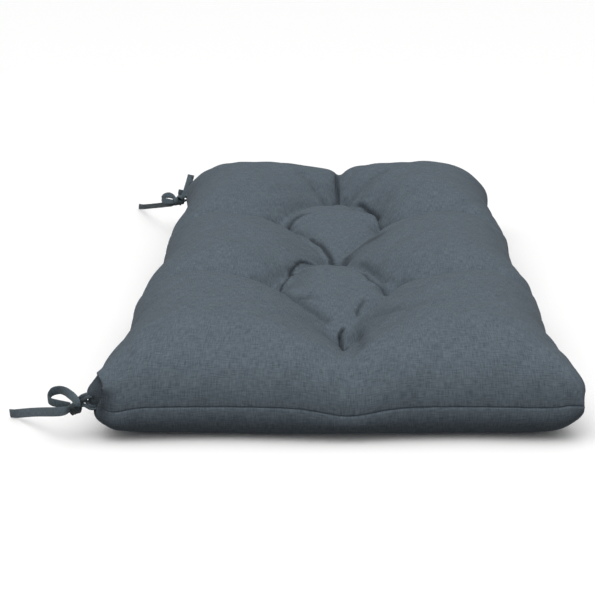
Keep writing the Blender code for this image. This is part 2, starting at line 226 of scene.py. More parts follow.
def smooth_rows(rows, samples):
    """Rows of numbers along a smooth curve, a Catmull-Rom spline, through the given rows."""
    rows = np.array(rows, float)
    padded = np.vstack([2 * rows[0] - rows[1], rows, 2 * rows[-1] - rows[-2]])
    made = []
    for before, start, end, after in zip(padded, padded[1:], padded[2:], padded[3:]):
        for t in np.arange(samples) / samples:
            swing = (2 * before - 5 * start + 4 * end - after) * t**2
            turn = (3 * start - before - 3 * end + after) * t**3
            made.append(start + ((end - before) * t + swing + turn) / 2)
    return np.array(made + [rows[-1]])


def unit(vectors):
    return vectors / np.linalg.norm(vectors, axis=-1, keepdims=True)


def tape_mesh(name, centres, sides, widths, thicknesses):
    """A closed flat tube round the centres. Its UV map has the tape's own metres, along and across."""
    tangents = unit(np.gradient(centres, axis=0))
    sides = unit(sides - (sides * tangents).sum(1, keepdims=True) * tangents)
    faces_out = np.cross(tangents, sides)
    angles = np.arange(SECTION_POINTS) / SECTION_POINTS * 2 * math.pi
    across = np.sign(np.cos(angles)) * np.abs(np.cos(angles)) ** SECTION_SQUARENESS
    out = np.sin(angles)
    along = np.concatenate([[0.0], np.cumsum(np.linalg.norm(np.diff(centres, axis=0), axis=1))])
    tube = bmesh.new()
    uv = tube.loops.layers.uv.new("cloth")
    rings = []
    for i, centre in enumerate(centres):
        spread = sides[i] * across[:, None] * widths[i] / 2
        lift = faces_out[i] * out[:, None] * thicknesses[i] / 2
        rings.append([tube.verts.new(point) for point in centre + spread + lift])
    girth = np.arange(SECTION_POINTS + 1) / SECTION_POINTS * 2 * TAPE
    for i in range(len(rings) - 1):
        for k in range(SECTION_POINTS):
            after = (k + 1) % SECTION_POINTS
            face = tube.faces.new((rings[i][k], rings[i][after], rings[i + 1][after], rings[i + 1][k]))
            corners = ((i, k), (i, k + 1), (i + 1, k + 1), (i + 1, k))
            for loop, (ring, place) in zip(face.loops, corners):
                loop[uv].uv = (along[ring], girth[place])
    tube.faces.new(rings[0])
    tube.faces.new(rings[-1])
    bmesh.ops.recalc_face_normals(tube, faces=tube.faces)
    mesh = finished(tube, name)
    mesh.shade_smooth()
    mesh.set_sharp_from_angle(angle=SHARP_ANGLE)
    return mesh, along[-1]


def route_tape(name, rows):
    """A tape along a route, and its centre line and length."""
    path = smooth_rows([(*mm(row[:3]), *row[3:]) for row in rows], SAMPLES_PER_ROW)
    centres, share, lean = path[:, :3], path[:, 3], path[:, 4:]
    upright = np.sqrt(np.maximum(0.0, 1.0 - (lean**2).sum(1)))
    sides = np.column_stack([lean, upright])
    thicknesses = TAPE_THICKNESS * (1.0 + GATHER * (1.0 - share))
    mesh, length = tape_mesh(name, centres, sides, share * TAPE, thicknesses)
    return new_object(name, mesh), centres, length


tapes = {}
for node, rows in ROUTES.items():
    tapes[node] = route_tape(node + "_tape", rows)
    print(f"{node}: {tapes[node][2] * 1000:.0f} mm of tape")

# %% [markdown]
# ## The knots and the gathered strands
#
# A knot in soft tape is a few turns of the same tape, squeezed narrow and lying over each other. A plain
# ball would look wrong from near, so each knot is wound: a few short turns of tape, each a ring in its own
# tilted plane round the knot's middle. Between the knot and the seam the tape is folded on itself, and
# a folded strand is the same flat tube, narrower and thicker, with a slight twist.

# %% Knots
RING_POINTS = 40
RING_SWEEP = 2.1 * math.pi  # a little more than one turn
KNOTS = {
    # name: the middle in mm, then for each turn its heading and tilt in degrees, and in mm two radii, width,
    # thickness and shift x, y, z
    "near_knot": (
        (-263.2, -490.5, 38.2),
        (8, 84, 4.6, 4.4, 9, 2, -0.8, 0, -2), (-38, 64, 5.2, 5.2, 5.6, 2, 0.8, -0.8, -0.8),
        (42, 62, 5.2, 4.8, 5, 2, -3.2, 0, -3),
    ),
    "far_knot": (
        (-261.2, 492.5, 48),
        (14, 78, 5.4, 6.2, 8, 2.2, -1.2, 0, 0.2), (-35, 62, 5.6, 6, 6, 2.2, 3, -1, 1.8),
        (48, 52, 5.8, 5.6, 5.6, 2.2, 6.2, 0, 4.8), (84, 34, 4.6, 4.4, 5, 2.2, 6.6, 0, -1.4),
    ),
}


def knot_turn(name, middle, heading, tilt, radius_a, radius_b, width, thickness):
    """One turn of tape round the middle. It closes on itself a little way along, as a wrap does."""
    turned = Matrix.Rotation(math.radians(heading), 3, "Z") @ Matrix.Rotation(math.radians(tilt), 3, "Y")
    first, second, axis = (np.array(turned.col[i]) for i in range(3))
    angles = np.linspace(0.0, RING_SWEEP, RING_POINTS)[:, None]
    centres = middle + np.cos(angles) * radius_a * first + np.sin(angles) * radius_b * second
    centres += axis * (angles / angles[-1] - 0.5) * thickness
    sides = np.repeat(axis[None], RING_POINTS, axis=0)
    ones = np.ones(RING_POINTS)
    return tape_mesh(name, centres, sides, width * ones, thickness * ones)[0]


def joined(name, meshes):
    work = bmesh.new()
    for mesh in meshes:
        work.from_mesh(mesh)
        bpy.data.meshes.remove(mesh)
    mesh = finished(work, name)
    mesh.set_sharp_from_angle(angle=SHARP_ANGLE)
    return new_object(name, mesh)


def wound_knot(name, middle, turns):
    meshes = []
    for heading, tilt, *sizes in turns:
        radius_a, radius_b, width, thickness, *shift = mm(sizes)
        place = mm(middle) + shift
        meshes.append(knot_turn(name, place, heading, tilt, radius_a, radius_b, width, thickness))
    return joined(name, meshes)


knots = {node: wound_knot(node + "_turns", middle, turns) for node, (middle, *turns) in KNOTS.items()}
print("triangles in a knot:", triangles(knots["near_knot"]))

# %% Strands between the knots and the seam
STRAND_WIDTH = 0.0038
STRAND_THICKNESS = 0.0021
STRAND_TWIST = math.radians(110)
STRAND_LEAN = 0.6  # how far it leans over in the middle of the twist
STRANDS = {
    # name: folds of tape from the knot into the corner of the seam, each as its points in mm
    "near_strand_high": (
        (
            (-260.8, -490.5, 45.5), (-256.3, -490.5, 49.2), (-251.3, -490, 51), (-245.5, -485, 50.6),
            (-242, -480, 50),
        ),
        ((-259, -492.5, 43.6), (-253.6, -493.5, 47.4), (-249, -491.5, 48.9), (-243, -486, 47.6)),
    ),
    "near_strand_low": (
        (
            (-260.5, -490, 38.6), (-254.1, -491.5, 40), (-248.9, -493, 37.6), (-244.5, -492.5, 36.6),
            (-240.5, -488, 37),
        ),
        (
            (-259.5, -488, 40.4), (-254.4, -488, 43.4), (-250.3, -490, 41.8), (-246.5, -491.5, 39.2),
            (-242, -489, 38.5),
        ),
    ),
    "far_strand": (
        ((-257, 491.5, 44.6), (-248.6, 492, 49.2), (-242.2, 491.5, 51.4), (-236.1, 489, 52.1)),
        ((-255.5, 494, 54.3), (-247.1, 495, 55.3), (-241.3, 492.5, 53), (-236.1, 489, 51)),
    ),
}


def strand(node, folds):
    """The folds of tape that reach from a knot into the seam."""
    meshes = []
    for points in folds:
        centres = smooth_rows(mm(points), SAMPLES_PER_ROW)
        angles = np.linspace(0.0, STRAND_TWIST, len(centres))
        sides = np.column_stack([0.0 * angles, np.sin(angles) * STRAND_LEAN, np.cos(angles)])
        widths, thicknesses = np.full((2, len(centres)), ((STRAND_WIDTH,), (STRAND_THICKNESS,)))
        meshes.append(tape_mesh(node + "_fold", centres, sides, widths, thicknesses)[0])
    return joined(node + "_folds", meshes)


strands = {node: strand(node, folds) for node, folds in STRANDS.items()}
print("strands:", ", ".join(strands))

# %% Shade in the ties
# Tape wound on itself lets little light in under the turns. Places that are darker than the lamps would
# leave them are noted on the meshes, and the tape's material darkens there.
TIE_SHADES = (
    # piece, middle of the shaded place and how far it reaches in mm, and how deep the shade is
    ("near_knot", (-265, -497, 33.5), 18, 0.9),
    ("near_loop", (-262, -495, 36.5), 8.5, 0.72),
    ("near_tail", (-266, -494, 36), 9, 0.72),
    ("near_strand_high", (-254, -493, 44), 16, 0.66),
    ("near_strand_low", (-247, -492, 38), 14, 0.4),
    ("far_knot", (-257, 490, 48), 12, 0.6),
    ("far_strand", (-248, 493, 50), 20, 0.5),
    ("far_stub", (-255, 493, 56), 9, 0.6),
    ("far_tail", (-268, 496, 43), 30, 0.45),
    ("far_tail", (-306, 570, 25), 150, 0.3),
    ("far_upright", (-236.2, 498.5, 74.5), 8, 0.8),
    ("far_upright", (-233.6, 504, 85), 7, 0.8),
)

in_the_ties = {node: tape[0] for node, tape in tapes.items()} | knots | strands
for node, middle, reach, shade in TIE_SHADES:
    mesh = in_the_ties[node].data
    away = np.linalg.norm(points_of(mesh) - mm(middle), axis=1)
    note_shade(mesh, shade * bump(away, mm(reach)))
print("shaded pieces:", len({row[0] for row in TIE_SHADES}))

# %% [markdown]
# ## The shape of the cushion
#
# A cushion's shape follows from where it is held. It is held at the rim by the seam and at seven points by
# the tuft stitches, and the filling pushes it up everywhere else. So the height of a panel is worked out
# as a rise from the seam, times the share of the crown that the valleys between the tufts leave. The same
# named sizes give the plain solid in the frame; here the panels are far finer, and the valleys close to
# folds.

# %% Sizes of the cushion
LENGTH = 1.000
WIDTH = 0.506
HALF_LENGTH = LENGTH / 2
HALF_WIDTH = WIDTH / 2
SEAM_HEIGHT = 0.0388
CROWN_RISE = 0.074
FAR_CROWN_EXTRA = 0.015
FULL_FROM, FULL_TO = 0.10, 0.34
LONG_SIDE_BOW = 0.0105
FAR_TAPER = {"left": 0.0060, "right": 0.0030}
LONG_SIDE_SCALLOP = 0.0080
SHORT_SIDE_SCALLOP = 0.0060
BOW_SQUARENESS = 8
CORNER_PULL = 0.0065
CORNER_SHARPNESS = 12
SIDE_BULGE = (0.0052, 0.020)  # how far a long side stands out past the seam's pinch, and over what reach
END_BULGE = {"top": (0.0004, 0.050), "belly": (0.0036, 0.030)}
SEAM_OUT = 0.0004  # the fine cloth's seam stands out this much more than the plain solid's
PINCH_CORNER = 0.025
SEAM_DIP_AT = 0.0115
SEAM_DIPS = (
    # where the near short seam dips, over what spread, and how far down
    (SEAM_DIP_AT, 0.034, 0.0082),
    (-0.2220, 0.014, 0.0042),
    (0.2330, 0.011, -0.0020),
)
SEAM_DIP_DEPTH = 0.080
CROWN_REACH_SIDE = 0.088
CROWN_REACH_NEAR = 0.100
CROWN_REACH_FAR = 0.085
BELLY_REACH = 0.040
TOP_CORNER_FILL = 2.5
BELLY_CORNER_FILL = 0.8
BELLY_CORNER_SLACK = 0.9
SLACK_SHARPNESS = 6
BELLY_VALLEY_SLACK = 0.35
BELLY_VALLEY_SPREAD = 0.045
DIMPLE_HEIGHT = 0.014
DIMPLE_REACH = 0.050

# %% Tufts and valleys
ROW_PITCH = LENGTH / 6
SIDE_TUFT = 0.0780
MIDDLE = -0.0050
TUFTS = {
    # name: (x, y)
    "row1": (0.0055, -2 * ROW_PITCH),
    "row2_left": (MIDDLE - SIDE_TUFT, -ROW_PITCH),
    "row2_right": (MIDDLE + SIDE_TUFT, -ROW_PITCH),
    "row3": (MIDDLE, 0.0),
    "row4_left": (MIDDLE - SIDE_TUFT, ROW_PITCH),
    "row4_right": (MIDDLE + SIDE_TUFT, ROW_PITCH),
    "row5": (0.0, 2 * ROW_PITCH),
}
EDGE_POINTS = {
    # name: (x, y)
    "near_edge": (SEAM_DIP_AT, -HALF_LENGTH),
    "far_edge": (0.0060, HALF_LENGTH),
    "left_near": (-HALF_WIDTH, -ROW_PITCH),
    "right_near": (HALF_WIDTH, -ROW_PITCH),
    "left_far": (-HALF_WIDTH, ROW_PITCH),
    "right_far": (HALF_WIDTH, ROW_PITCH),
}
# A valley's left and right are as seen from its start, and it bows to the left by its bow. A lump rises
# steeply out of a valley, while a diamond lies lower and rises as a gentle dome, from its near edges above
# all, so that the near lumps fold over it.
LUMP = (0.085, 0.44)  # how far in it is at its full height, and how gently it rises: 0.5 is a quarter oval
DOME_NEAR = (0.074, 0.85)
DOME_FAR = (0.066, 0.55)
SIDE = (0.090, 0.50)
END = (0.060, 0.50)
VALLEYS = (
    # start, end, share of the crown left at the start, half way and at the end, what rises left and right,
    # and the bow
    ("row1", "near_edge", 0.26, 0.52, 1.0, SIDE, SIDE, 0.0),
    ("row1", "row2_left", 0.40, 0.52, 0.42, LUMP, DOME_NEAR, 0.0),
    ("row1", "row2_right", 0.40, 0.52, 0.42, DOME_NEAR, LUMP, 0.0),
    ("row2_left", "row3", 0.38, 0.48, 0.42, LUMP, DOME_FAR, 0.008),
    ("row2_right", "row3", 0.42, 0.50, 0.42, DOME_FAR, LUMP, -0.005),
    ("row3", "row4_left", 0.42, 0.52, 0.42, LUMP, DOME_NEAR, 0.0),
    ("row3", "row4_right", 0.42, 0.52, 0.42, DOME_NEAR, LUMP, 0.0),
    ("row4_left", "row5", 0.42, 0.54, 0.42, LUMP, DOME_FAR, 0.014),
    ("row4_right", "row5", 0.40, 0.50, 0.42, DOME_FAR, LUMP, -0.014),
    ("row5", "far_edge", 0.42, 0.64, 0.78, END, END, 0.0),
    ("row2_left", "left_near", 0.42, 0.62, 0.86, SIDE, SIDE, 0.0),
    ("row2_right", "right_near", 0.42, 0.62, 0.86, SIDE, SIDE, 0.0),
    ("row4_left", "left_far", 0.42, 0.62, 0.86, SIDE, SIDE, 0.0),
    ("row4_right", "right_far", 0.42, 0.62, 0.86, SIDE, SIDE, 0.0),
)
VALLEY_ROUND = 0.0020  # radius to which a valley's bottom is rounded, so that the grid can follow it
VALLEY_BLEND = 7.0
TUFT_SHARE = 0.14
TUFT_REACH = 0.028
DIAMONDS = ((MIDDLE, -ROW_PITCH), (MIDDLE, ROW_PITCH))  # their middles
DIAMOND_DIP = 0.10  # they stand lower by this share of their height
DIAMOND_SHOULDER = 0.6  # share of the way in over which they round off
CENTRE_TROUGH = 0.34
CENTRE_TROUGH_SPREAD = 0.075
TROUGH_FADE_FROM, TROUGH_FADE_TO = 0.31, 0.48
TROUGH_NEAR_FROM, TROUGH_NEAR_TO = -0.485, -0.370


def from_tufts(x, y):
    """For each tuft, how far x, y is from it in plan."""
    return [np.hypot(x - tuft_x, y - tuft_y) for tuft_x, tuft_y in TUFTS.values()]


print(len(TUFTS), "tufts and", len(VALLEYS), "valleys")

# %% Curves that shape a panel


def arc_rise(distance, reach, gentleness=0.5):
    """0 at distance 0 and 1 from reach on, along a quarter of an oval, or gentler than that."""
    t = np.clip(distance / reach, 0.0, 1.0)
    return (t * (2.0 - t)) ** gentleness


def ramp(value, start, end):
    """0 up to start, 1 from end on, smooth between."""
    t = np.clip((value - start) / (end - start), 0.0, 1.0)
    return t * t * (3.0 - 2.0 * t)


def seam_half_width(u, v):
    along = (v + 1.0) / 2.0
    taper = np.where(u < 0, FAR_TAPER["left"], FAR_TAPER["right"])
    scallop = LONG_SIDE_SCALLOP * np.sin(3.0 * math.pi * along) ** 2
    bow = LONG_SIDE_BOW * (1.0 - v**BOW_SQUARENESS)
    return HALF_WIDTH + SEAM_OUT * (1.0 - v**BOW_SQUARENESS) - bow - taper * along - scallop


def seam_half_length(u):
    scallop = SHORT_SIDE_SCALLOP * np.sin(math.pi * u) ** 2
    return HALF_LENGTH + SEAM_OUT * (1.0 - u**BOW_SQUARENESS) - scallop


def rim_distances(u, v):
    """How far the panel's point u, v is from the long and the short seams, inwards."""
    across = seam_half_width(u, v) * (1.0 - np.abs(u))
    along = seam_half_length(u) * (1.0 - np.abs(v))
    return across, along


def bulge(distance, other, size, reach):
    """How far the panel stands out past a seam at this distance in from it. It peaks a fifth of the way."""
    t = np.clip(distance / reach, 0.0, 1.0)
    return size * 3.0 * np.sqrt(t) * (1.0 - t) ** 2 * ramp(other, 0.0, PINCH_CORNER)


def plan(u, v, panel):
    """Plan position of the panel's point u, v, each from -1 to 1 across and along it."""
    across, along = rim_distances(u, v)
    pull = CORNER_PULL * np.abs(u * v) ** CORNER_SHARPNESS
    x = u * seam_half_width(u, v) + np.sign(u) * (bulge(across, along, *SIDE_BULGE) - pull)
    y = v * seam_half_length(u) + np.sign(v) * (bulge(along, across, *END_BULGE[panel]) - pull)
    return x, y


def wall_rise(across, along, reach_x, reach_y, fill):
    """0 on the rim seam and 1 from the two reaches on; a higher fill makes fuller corners."""
    rise_x = np.maximum(arc_rise(across, reach_x), TINY)
    rise_y = np.maximum(arc_rise(along, reach_y), TINY)
    return (rise_x**-fill + rise_y**-fill - 1.0) ** (-1.0 / fill)


def to_segment(x, y, start, end):
    """Distance from a straight line in plan, and how far along it the nearest point is, 0 to 1."""
    run = np.subtract(end, start)
    t = ((x - start[0]) * run[0] + (y - start[1]) * run[1]) / (run @ run)
    t = np.clip(t, 0.0, 1.0)
    return np.hypot(x - start[0] - t * run[0], y - start[1] - t * run[1]), t


def is_left_of(x, y, start, end):
    return (end[0] - start[0]) * (y - start[1]) > (end[1] - start[1]) * (x - start[0])


def through(first, middle, last, t):
    """A smooth curve through three values, at t from 0 to 1."""
    return first * (1 - t) * (1 - 2 * t) + 4 * middle * t * (1 - t) + last * t * (2 * t - 1)


# %% Heights of the two panels


def crown_share(x, y):
    """Share of the crown's height that the valleys and tufts leave at x, y."""
    points = {**TUFTS, **EDGE_POINTS}
    total = np.ones_like(x)
    for start, end, first, middle, last, left_rise, right_rise, bow in VALLEYS:
        distance, t = to_segment(x, y, points[start], points[end])
        side = np.where(is_left_of(x, y, points[start], points[end]), 1.0, -1.0)
        to_left = side * distance - bow * 4.0 * t * (1.0 - t)
        distance = np.hypot(to_left, VALLEY_ROUND) - VALLEY_ROUND
        rise = np.where(to_left > 0.0, arc_rise(distance, *left_rise), arc_rise(distance, *right_rise))
        floor = through(first, middle, last, t)
        share = floor + (1.0 - floor) * rise
        total += share**-VALLEY_BLEND - 1.0
    share = total ** (-1.0 / VALLEY_BLEND)
    for away in from_tufts(x, y):
        share -= bump(away, TUFT_REACH) * (share - TUFT_SHARE)
    for middle_x, middle_y in DIAMONDS:
        outwards = np.abs(x - middle_x) / SIDE_TUFT + np.abs(y - middle_y) / ROW_PITCH
        share *= 1.0 - DIAMOND_DIP * ramp(1.0 - outwards, 0.0, DIAMOND_SHOULDER)
    trough = CENTRE_TROUGH * (1.0 - ramp(y, TROUGH_FADE_FROM, TROUGH_FADE_TO))
    trough *= ramp(y, TROUGH_NEAR_FROM, TROUGH_NEAR_TO)
    return share * (1.0 - trough * np.exp(-((x / CENTRE_TROUGH_SPREAD) ** 2)))


def middle_height(x, v):
    """Height of the rim seam, carried inwards."""
    near = np.exp(-(((v + 1.0) * HALF_LENGTH / SEAM_DIP_DEPTH) ** 2))
    dips = sum(drop * np.exp(-(((x - place) / spread) ** 2)) for place, spread, drop in SEAM_DIPS)
    return SEAM_HEIGHT - near * dips


def top_height(u, v, x, y):
    across, along = rim_distances(u, v)
    reach = np.where(v < 0, CROWN_REACH_NEAR, CROWN_REACH_FAR)
    wall = wall_rise(across, along, CROWN_REACH_SIDE, reach, TOP_CORNER_FILL)
    rise = CROWN_RISE + FAR_CROWN_EXTRA * ramp(y, FULL_FROM, FULL_TO)
    return middle_height(x, v) + wall * rise * crown_share(x, y)


def belly_height(u, v, x, y):
    across, along = rim_distances(u, v)
    valley = np.exp(-(((x - SEAM_DIP_AT) / BELLY_VALLEY_SPREAD) ** 2)) * (v < 0)
    slack = BELLY_CORNER_SLACK * (u * v) ** SLACK_SHARPNESS + BELLY_VALLEY_SLACK * valley
    reach = BELLY_REACH * (1.0 + slack)
    wall = wall_rise(across, along, reach, reach, BELLY_CORNER_FILL)
    height = middle_height(x, v) * (1.0 - wall)
    for away in from_tufts(x, y):
        height += DIMPLE_HEIGHT * bump(away, DIMPLE_REACH)
    return height


# %% [markdown]
# ## The two panels as cloth
#
# Each panel is a grid of threads. Its rows and columns run with the weave, which is how the real cloth is
# cut, so the grid's own running length along rows and columns is the cloth's flat size. It is stored as the
# UV map, in metres, and the weave follows it over every lump. The cells are even over the middle and
# narrow at the rim, where the wall of the cushion is steep.

# %% Panels
CELLS_ACROSS = 88
CELLS_ALONG = 176
EVEN_SHARE = 0.7  # share of a panel's half over which the cells are even


def spaced(grid):
    """Grid positions from -1 to 1, even in the middle and closer and closer towards the rim."""
    g = np.abs(grid)
    slope = 2.0 / (1.0 + EVEN_SHARE)
    rim = 1.0 - slope / (2.0 * (1.0 - EVEN_SHARE)) * (1.0 - g) ** 2
    return np.sign(grid) * np.where(g < EVEN_SHARE, slope * g, rim)


def running_length(points, axis):
    """Length along the grid lines from their middle. All lines share their mean, so threads stay straight."""
    steps = np.linalg.norm(np.diff(points, axis=axis), axis=2).mean(1 - axis)
    total = np.concatenate([[0.0], np.cumsum(steps)])
    return total - total[len(total) // 2]


def add_panel(mesh, uv, seam_distance, height_of, facing):
    """One panel, facing up, 1, or down, -1."""
    made = bmesh.ops.create_grid(mesh, x_segments=CELLS_ACROSS, y_segments=CELLS_ALONG, size=1.0)
    verts = made["verts"]
    grid = np.array([vert.co[:2] for vert in verts])
    for corner in [vert for vert in verts if len(vert.link_faces) == 1]:
        opposite = max(corner.link_faces[0].verts, key=lambda vert: (vert.co - corner.co).length)
        bmesh.ops.connect_verts(mesh, verts=[corner, opposite])
    u, v = spaced(grid).T
    x, y = plan(u, v, "top" if facing > 0 else "belly")
    places = np.column_stack([x, y, height_of(u, v, x, y)])
    lattice = places.reshape(CELLS_ALONG + 1, CELLS_ACROSS + 1, 3)
    along = np.repeat(running_length(lattice, 0), CELLS_ACROSS + 1)
    across = np.tile(running_length(lattice, 1), CELLS_ALONG + 1)
    nearest = facing * np.minimum(*rim_distances(u, v))
    for vert, place, cloth_x, cloth_y, inwards in zip(verts, places, across, along, nearest):
        vert.co = place
        vert[seam_distance] = inwards
        for loop in vert.link_loops:
            loop[uv].uv = (cloth_x, cloth_y)
    if facing < 0:
        faces = list({face for vert in verts for face in vert.link_faces})
        bmesh.ops.reverse_faces(mesh, faces=faces)


def build_panels(name):
    """Both panels, sewn together on the seam."""
    both = bmesh.new()
    uv = both.loops.layers.uv.new("cloth")
    seam_distance = both.verts.layers.float.new("seam_distance")
    add_panel(both, uv, seam_distance, top_height, 1.0)
    add_panel(both, uv, seam_distance, belly_height, -1.0)
    bmesh.ops.remove_doubles(both, verts=both.verts, dist=TINY)
    mesh = finished(both, name)
    mesh.shade_smooth()
    return new_object(name, mesh)


cushion = build_panels("bench_cushion")
print("triangles in the coarse cushion:", triangles(cushion))

# %% [markdown]
# ## The filling swells the cloth
#
# Blender's cloth simulation blows the cover up with a little pressure, held where thread holds it: at the
# rim seam, at the tuft stitches and where it lies on the surface. Each point may move only a few
# millimetres, so the lumps keep their measured place and gain the fullness, the tight valleys and the
# puckers that real cloth has. The result is copied to the mesh, and no simulation is left on it.

# %% Swell the cover
SWELL_FRAMES = 20
SWELL_CAP = 0.010
HELD_ROUND_TUFT = 0.007
HELD_ABOVE_FLOOR = 0.002
CLOTH = {
    "quality": 5,
    "mass": 0.3,
    "tension_stiffness": 15.0,
    "compression_stiffness": 15.0,
    "shear_stiffness": 5.0,
    "bending_stiffness": 0.5,
    "use_pressure": True,
    "uniform_pressure_force": 4.0,
}


def soft_cap(moves, cap):
    """The moves, none of them longer than the cap and the short ones left as they are."""
    lengths = np.linalg.norm(moves, axis=1, keepdims=True)
    return moves * (cap * np.tanh(lengths / cap) / np.maximum(lengths, 1e-9))


def swell(thing):
    start = points_of(thing.data)
    on_floor = start[:, 2] < HELD_ABOVE_FLOOR
    held = (np.abs(vertex_values(thing.data, "seam_distance")) < TINY) | on_floor
    for away in from_tufts(start[:, 0], start[:, 1]):
        held |= away < HELD_ROUND_TUFT
    group = marked_group(thing, "held", held)
    cloth = thing.modifiers.new("swell", "CLOTH")
    cloth.settings.vertex_group_mass = "held"
    for setting, value in CLOTH.items():
        setattr(cloth.settings, setting, value)
    cloth.settings.effector_weights.gravity = 0.0
    cloth.collision_settings.use_collision = False
    scene = bpy.context.scene
    for number in range(1, SWELL_FRAMES + 1):
        scene.frame_set(number)
    graph = bpy.context.evaluated_depsgraph_get()
    swollen = points_of(thing.evaluated_get(graph).data)
    thing.modifiers.remove(cloth)
    thing.vertex_groups.remove(group)
    scene.frame_set(1)
    moves = soft_cap(swollen - start, SWELL_CAP)
    moved = start + moves
    moved[:, 2] = np.where(on_floor, start[:, 2], np.maximum(moved[:, 2], 0.0))
    move_points(thing.data, moved)
    lengths = np.linalg.norm(moves, axis=1) * 1000
    print(f"swollen by {lengths.mean():.1f} mm on average and {lengths.max():.1f} mm at most")


swell(cushion)

# %% Finer cloth
finer = cushion.modifiers.new("finer cloth", "SUBSURF")
finer.levels = 1
finer.render_levels = 1
cushion = baked(cushion)
print("triangles in the fine cushion:", triangles(cushion))

# %% [markdown]
# ## Uneven filling and puckers
#
# Loose fibre never lies evenly, so the lumps get slow, shallow swells. Next to the rim seam the thread
# draws the cloth into a row of small puckers, and a tuft's thread draws short puckers round its pit. All of
# them are a few sine waves with fixed sizes, so the cushion comes out the same each time.

# %% Swells and puckers
SWELLS = (
    # height, wavelength across and along, and where in its cycle it starts
    (0.0006, 0.110, 0.140, 0.4),
    (0.0005, 0.067, -0.083, 1.7),
    (0.0004, -0.041, 0.052, 2.9),
)
PUCKER_HEIGHT = 0.00035
PUCKER_LENGTHS = (0.0170, 0.0265)  # two wavelengths, so that the row doesn't look even
PUCKER_REACH = 0.014
TUFT_PUCKER_HEIGHT = 0.0006
TUFT_PUCKER_COUNT = 7
TUFT_PUCKER_FROM, TUFT_PUCKER_PEAK, TUFT_PUCKER_TO = 0.006, 0.020, 0.050
NUDGES = (
    # in mm: a place, how far round it the cloth moves, and its move. The first rows lay the corner's cloth in
    # a flap over the tie, and the others fit how full the corners and the far lumps are
    (-244, -488, 50, 17, -7.5, 0, 0),
    (-244, -480, 62, 20, -3.5, 0, 0),
    (-243, -490, 26, 14, -2, 0, 0),
    (-241, -420, 65, 45, -3.5, 0, 0),
    (248, -475, 60, 35, 2.2, 0, 0),
    (240, -485, 20, 30, 5, 0, 0),
    (250, -480, 50, 18, 1.8, 0, 0),
    (228.5, -484, 15, 30, 0.5, -0.5, -3.2),
    (-233, -487, 17, 30, -0.5, -0.5, -3.6),
    (-225, 460, 100, 60, -3.5, 0, 2.5),
    (-45, 440, 125, 50, 0, 0, -3.5),
    (46, 260, 85, 55, 0, 0, -9.5),
    (-35, 225, 88, 45, 0, 0, -2.8),
)


def pucker(mesh):
    places, normals = points_of(mesh), normals_of(mesh)
    x, y, z = places.T
    on_top = vertex_values(mesh, "seam_distance") >= 0.0
    raised = np.zeros(len(places))
    for height, across, along, start in SWELLS:
        raised += height * np.sin(2 * math.pi * (x / across + y / along) + start)
    raised *= ramp(z, SEAM_HEIGHT, SEAM_HEIGHT + CROWN_RISE / 2) * on_top
    round_rim = np.where(HALF_WIDTH - np.abs(x) < HALF_LENGTH - np.abs(y), y, x)
    waves = sum(np.sin(2 * math.pi * round_rim / length) for length in PUCKER_LENGTHS)
    raised += PUCKER_HEIGHT * waves * bump(np.abs(z - SEAM_HEIGHT), PUCKER_REACH) * (z > HELD_ABOVE_FLOOR)
    for number, (tuft_x, tuft_y) in enumerate(TUFTS.values()):
        away = np.hypot(x - tuft_x, y - tuft_y)
        rays = np.sin(TUFT_PUCKER_COUNT * np.arctan2(y - tuft_y, x - tuft_x) + number)
        ring = ramp(away, TUFT_PUCKER_FROM, TUFT_PUCKER_PEAK)
        ring *= 1 - ramp(away, TUFT_PUCKER_PEAK, TUFT_PUCKER_TO)
        raised += TUFT_PUCKER_HEIGHT * rays * ring * on_top
    places += normals * raised[:, None]
    for nudge in mm(NUDGES):
        place, reach, move = nudge[:3], nudge[3], nudge[4:]
        places += bump(np.linalg.norm(places - place, axis=1), reach)[:, None] * move
    places[:, 2] = np.maximum(places[:, 2], 0.0)
    move_points(mesh, places)


pucker(cushion.data)
print(f"the highest lump stands {points_of(cushion.data)[:, 2].max() * 1000:.0f} mm high")
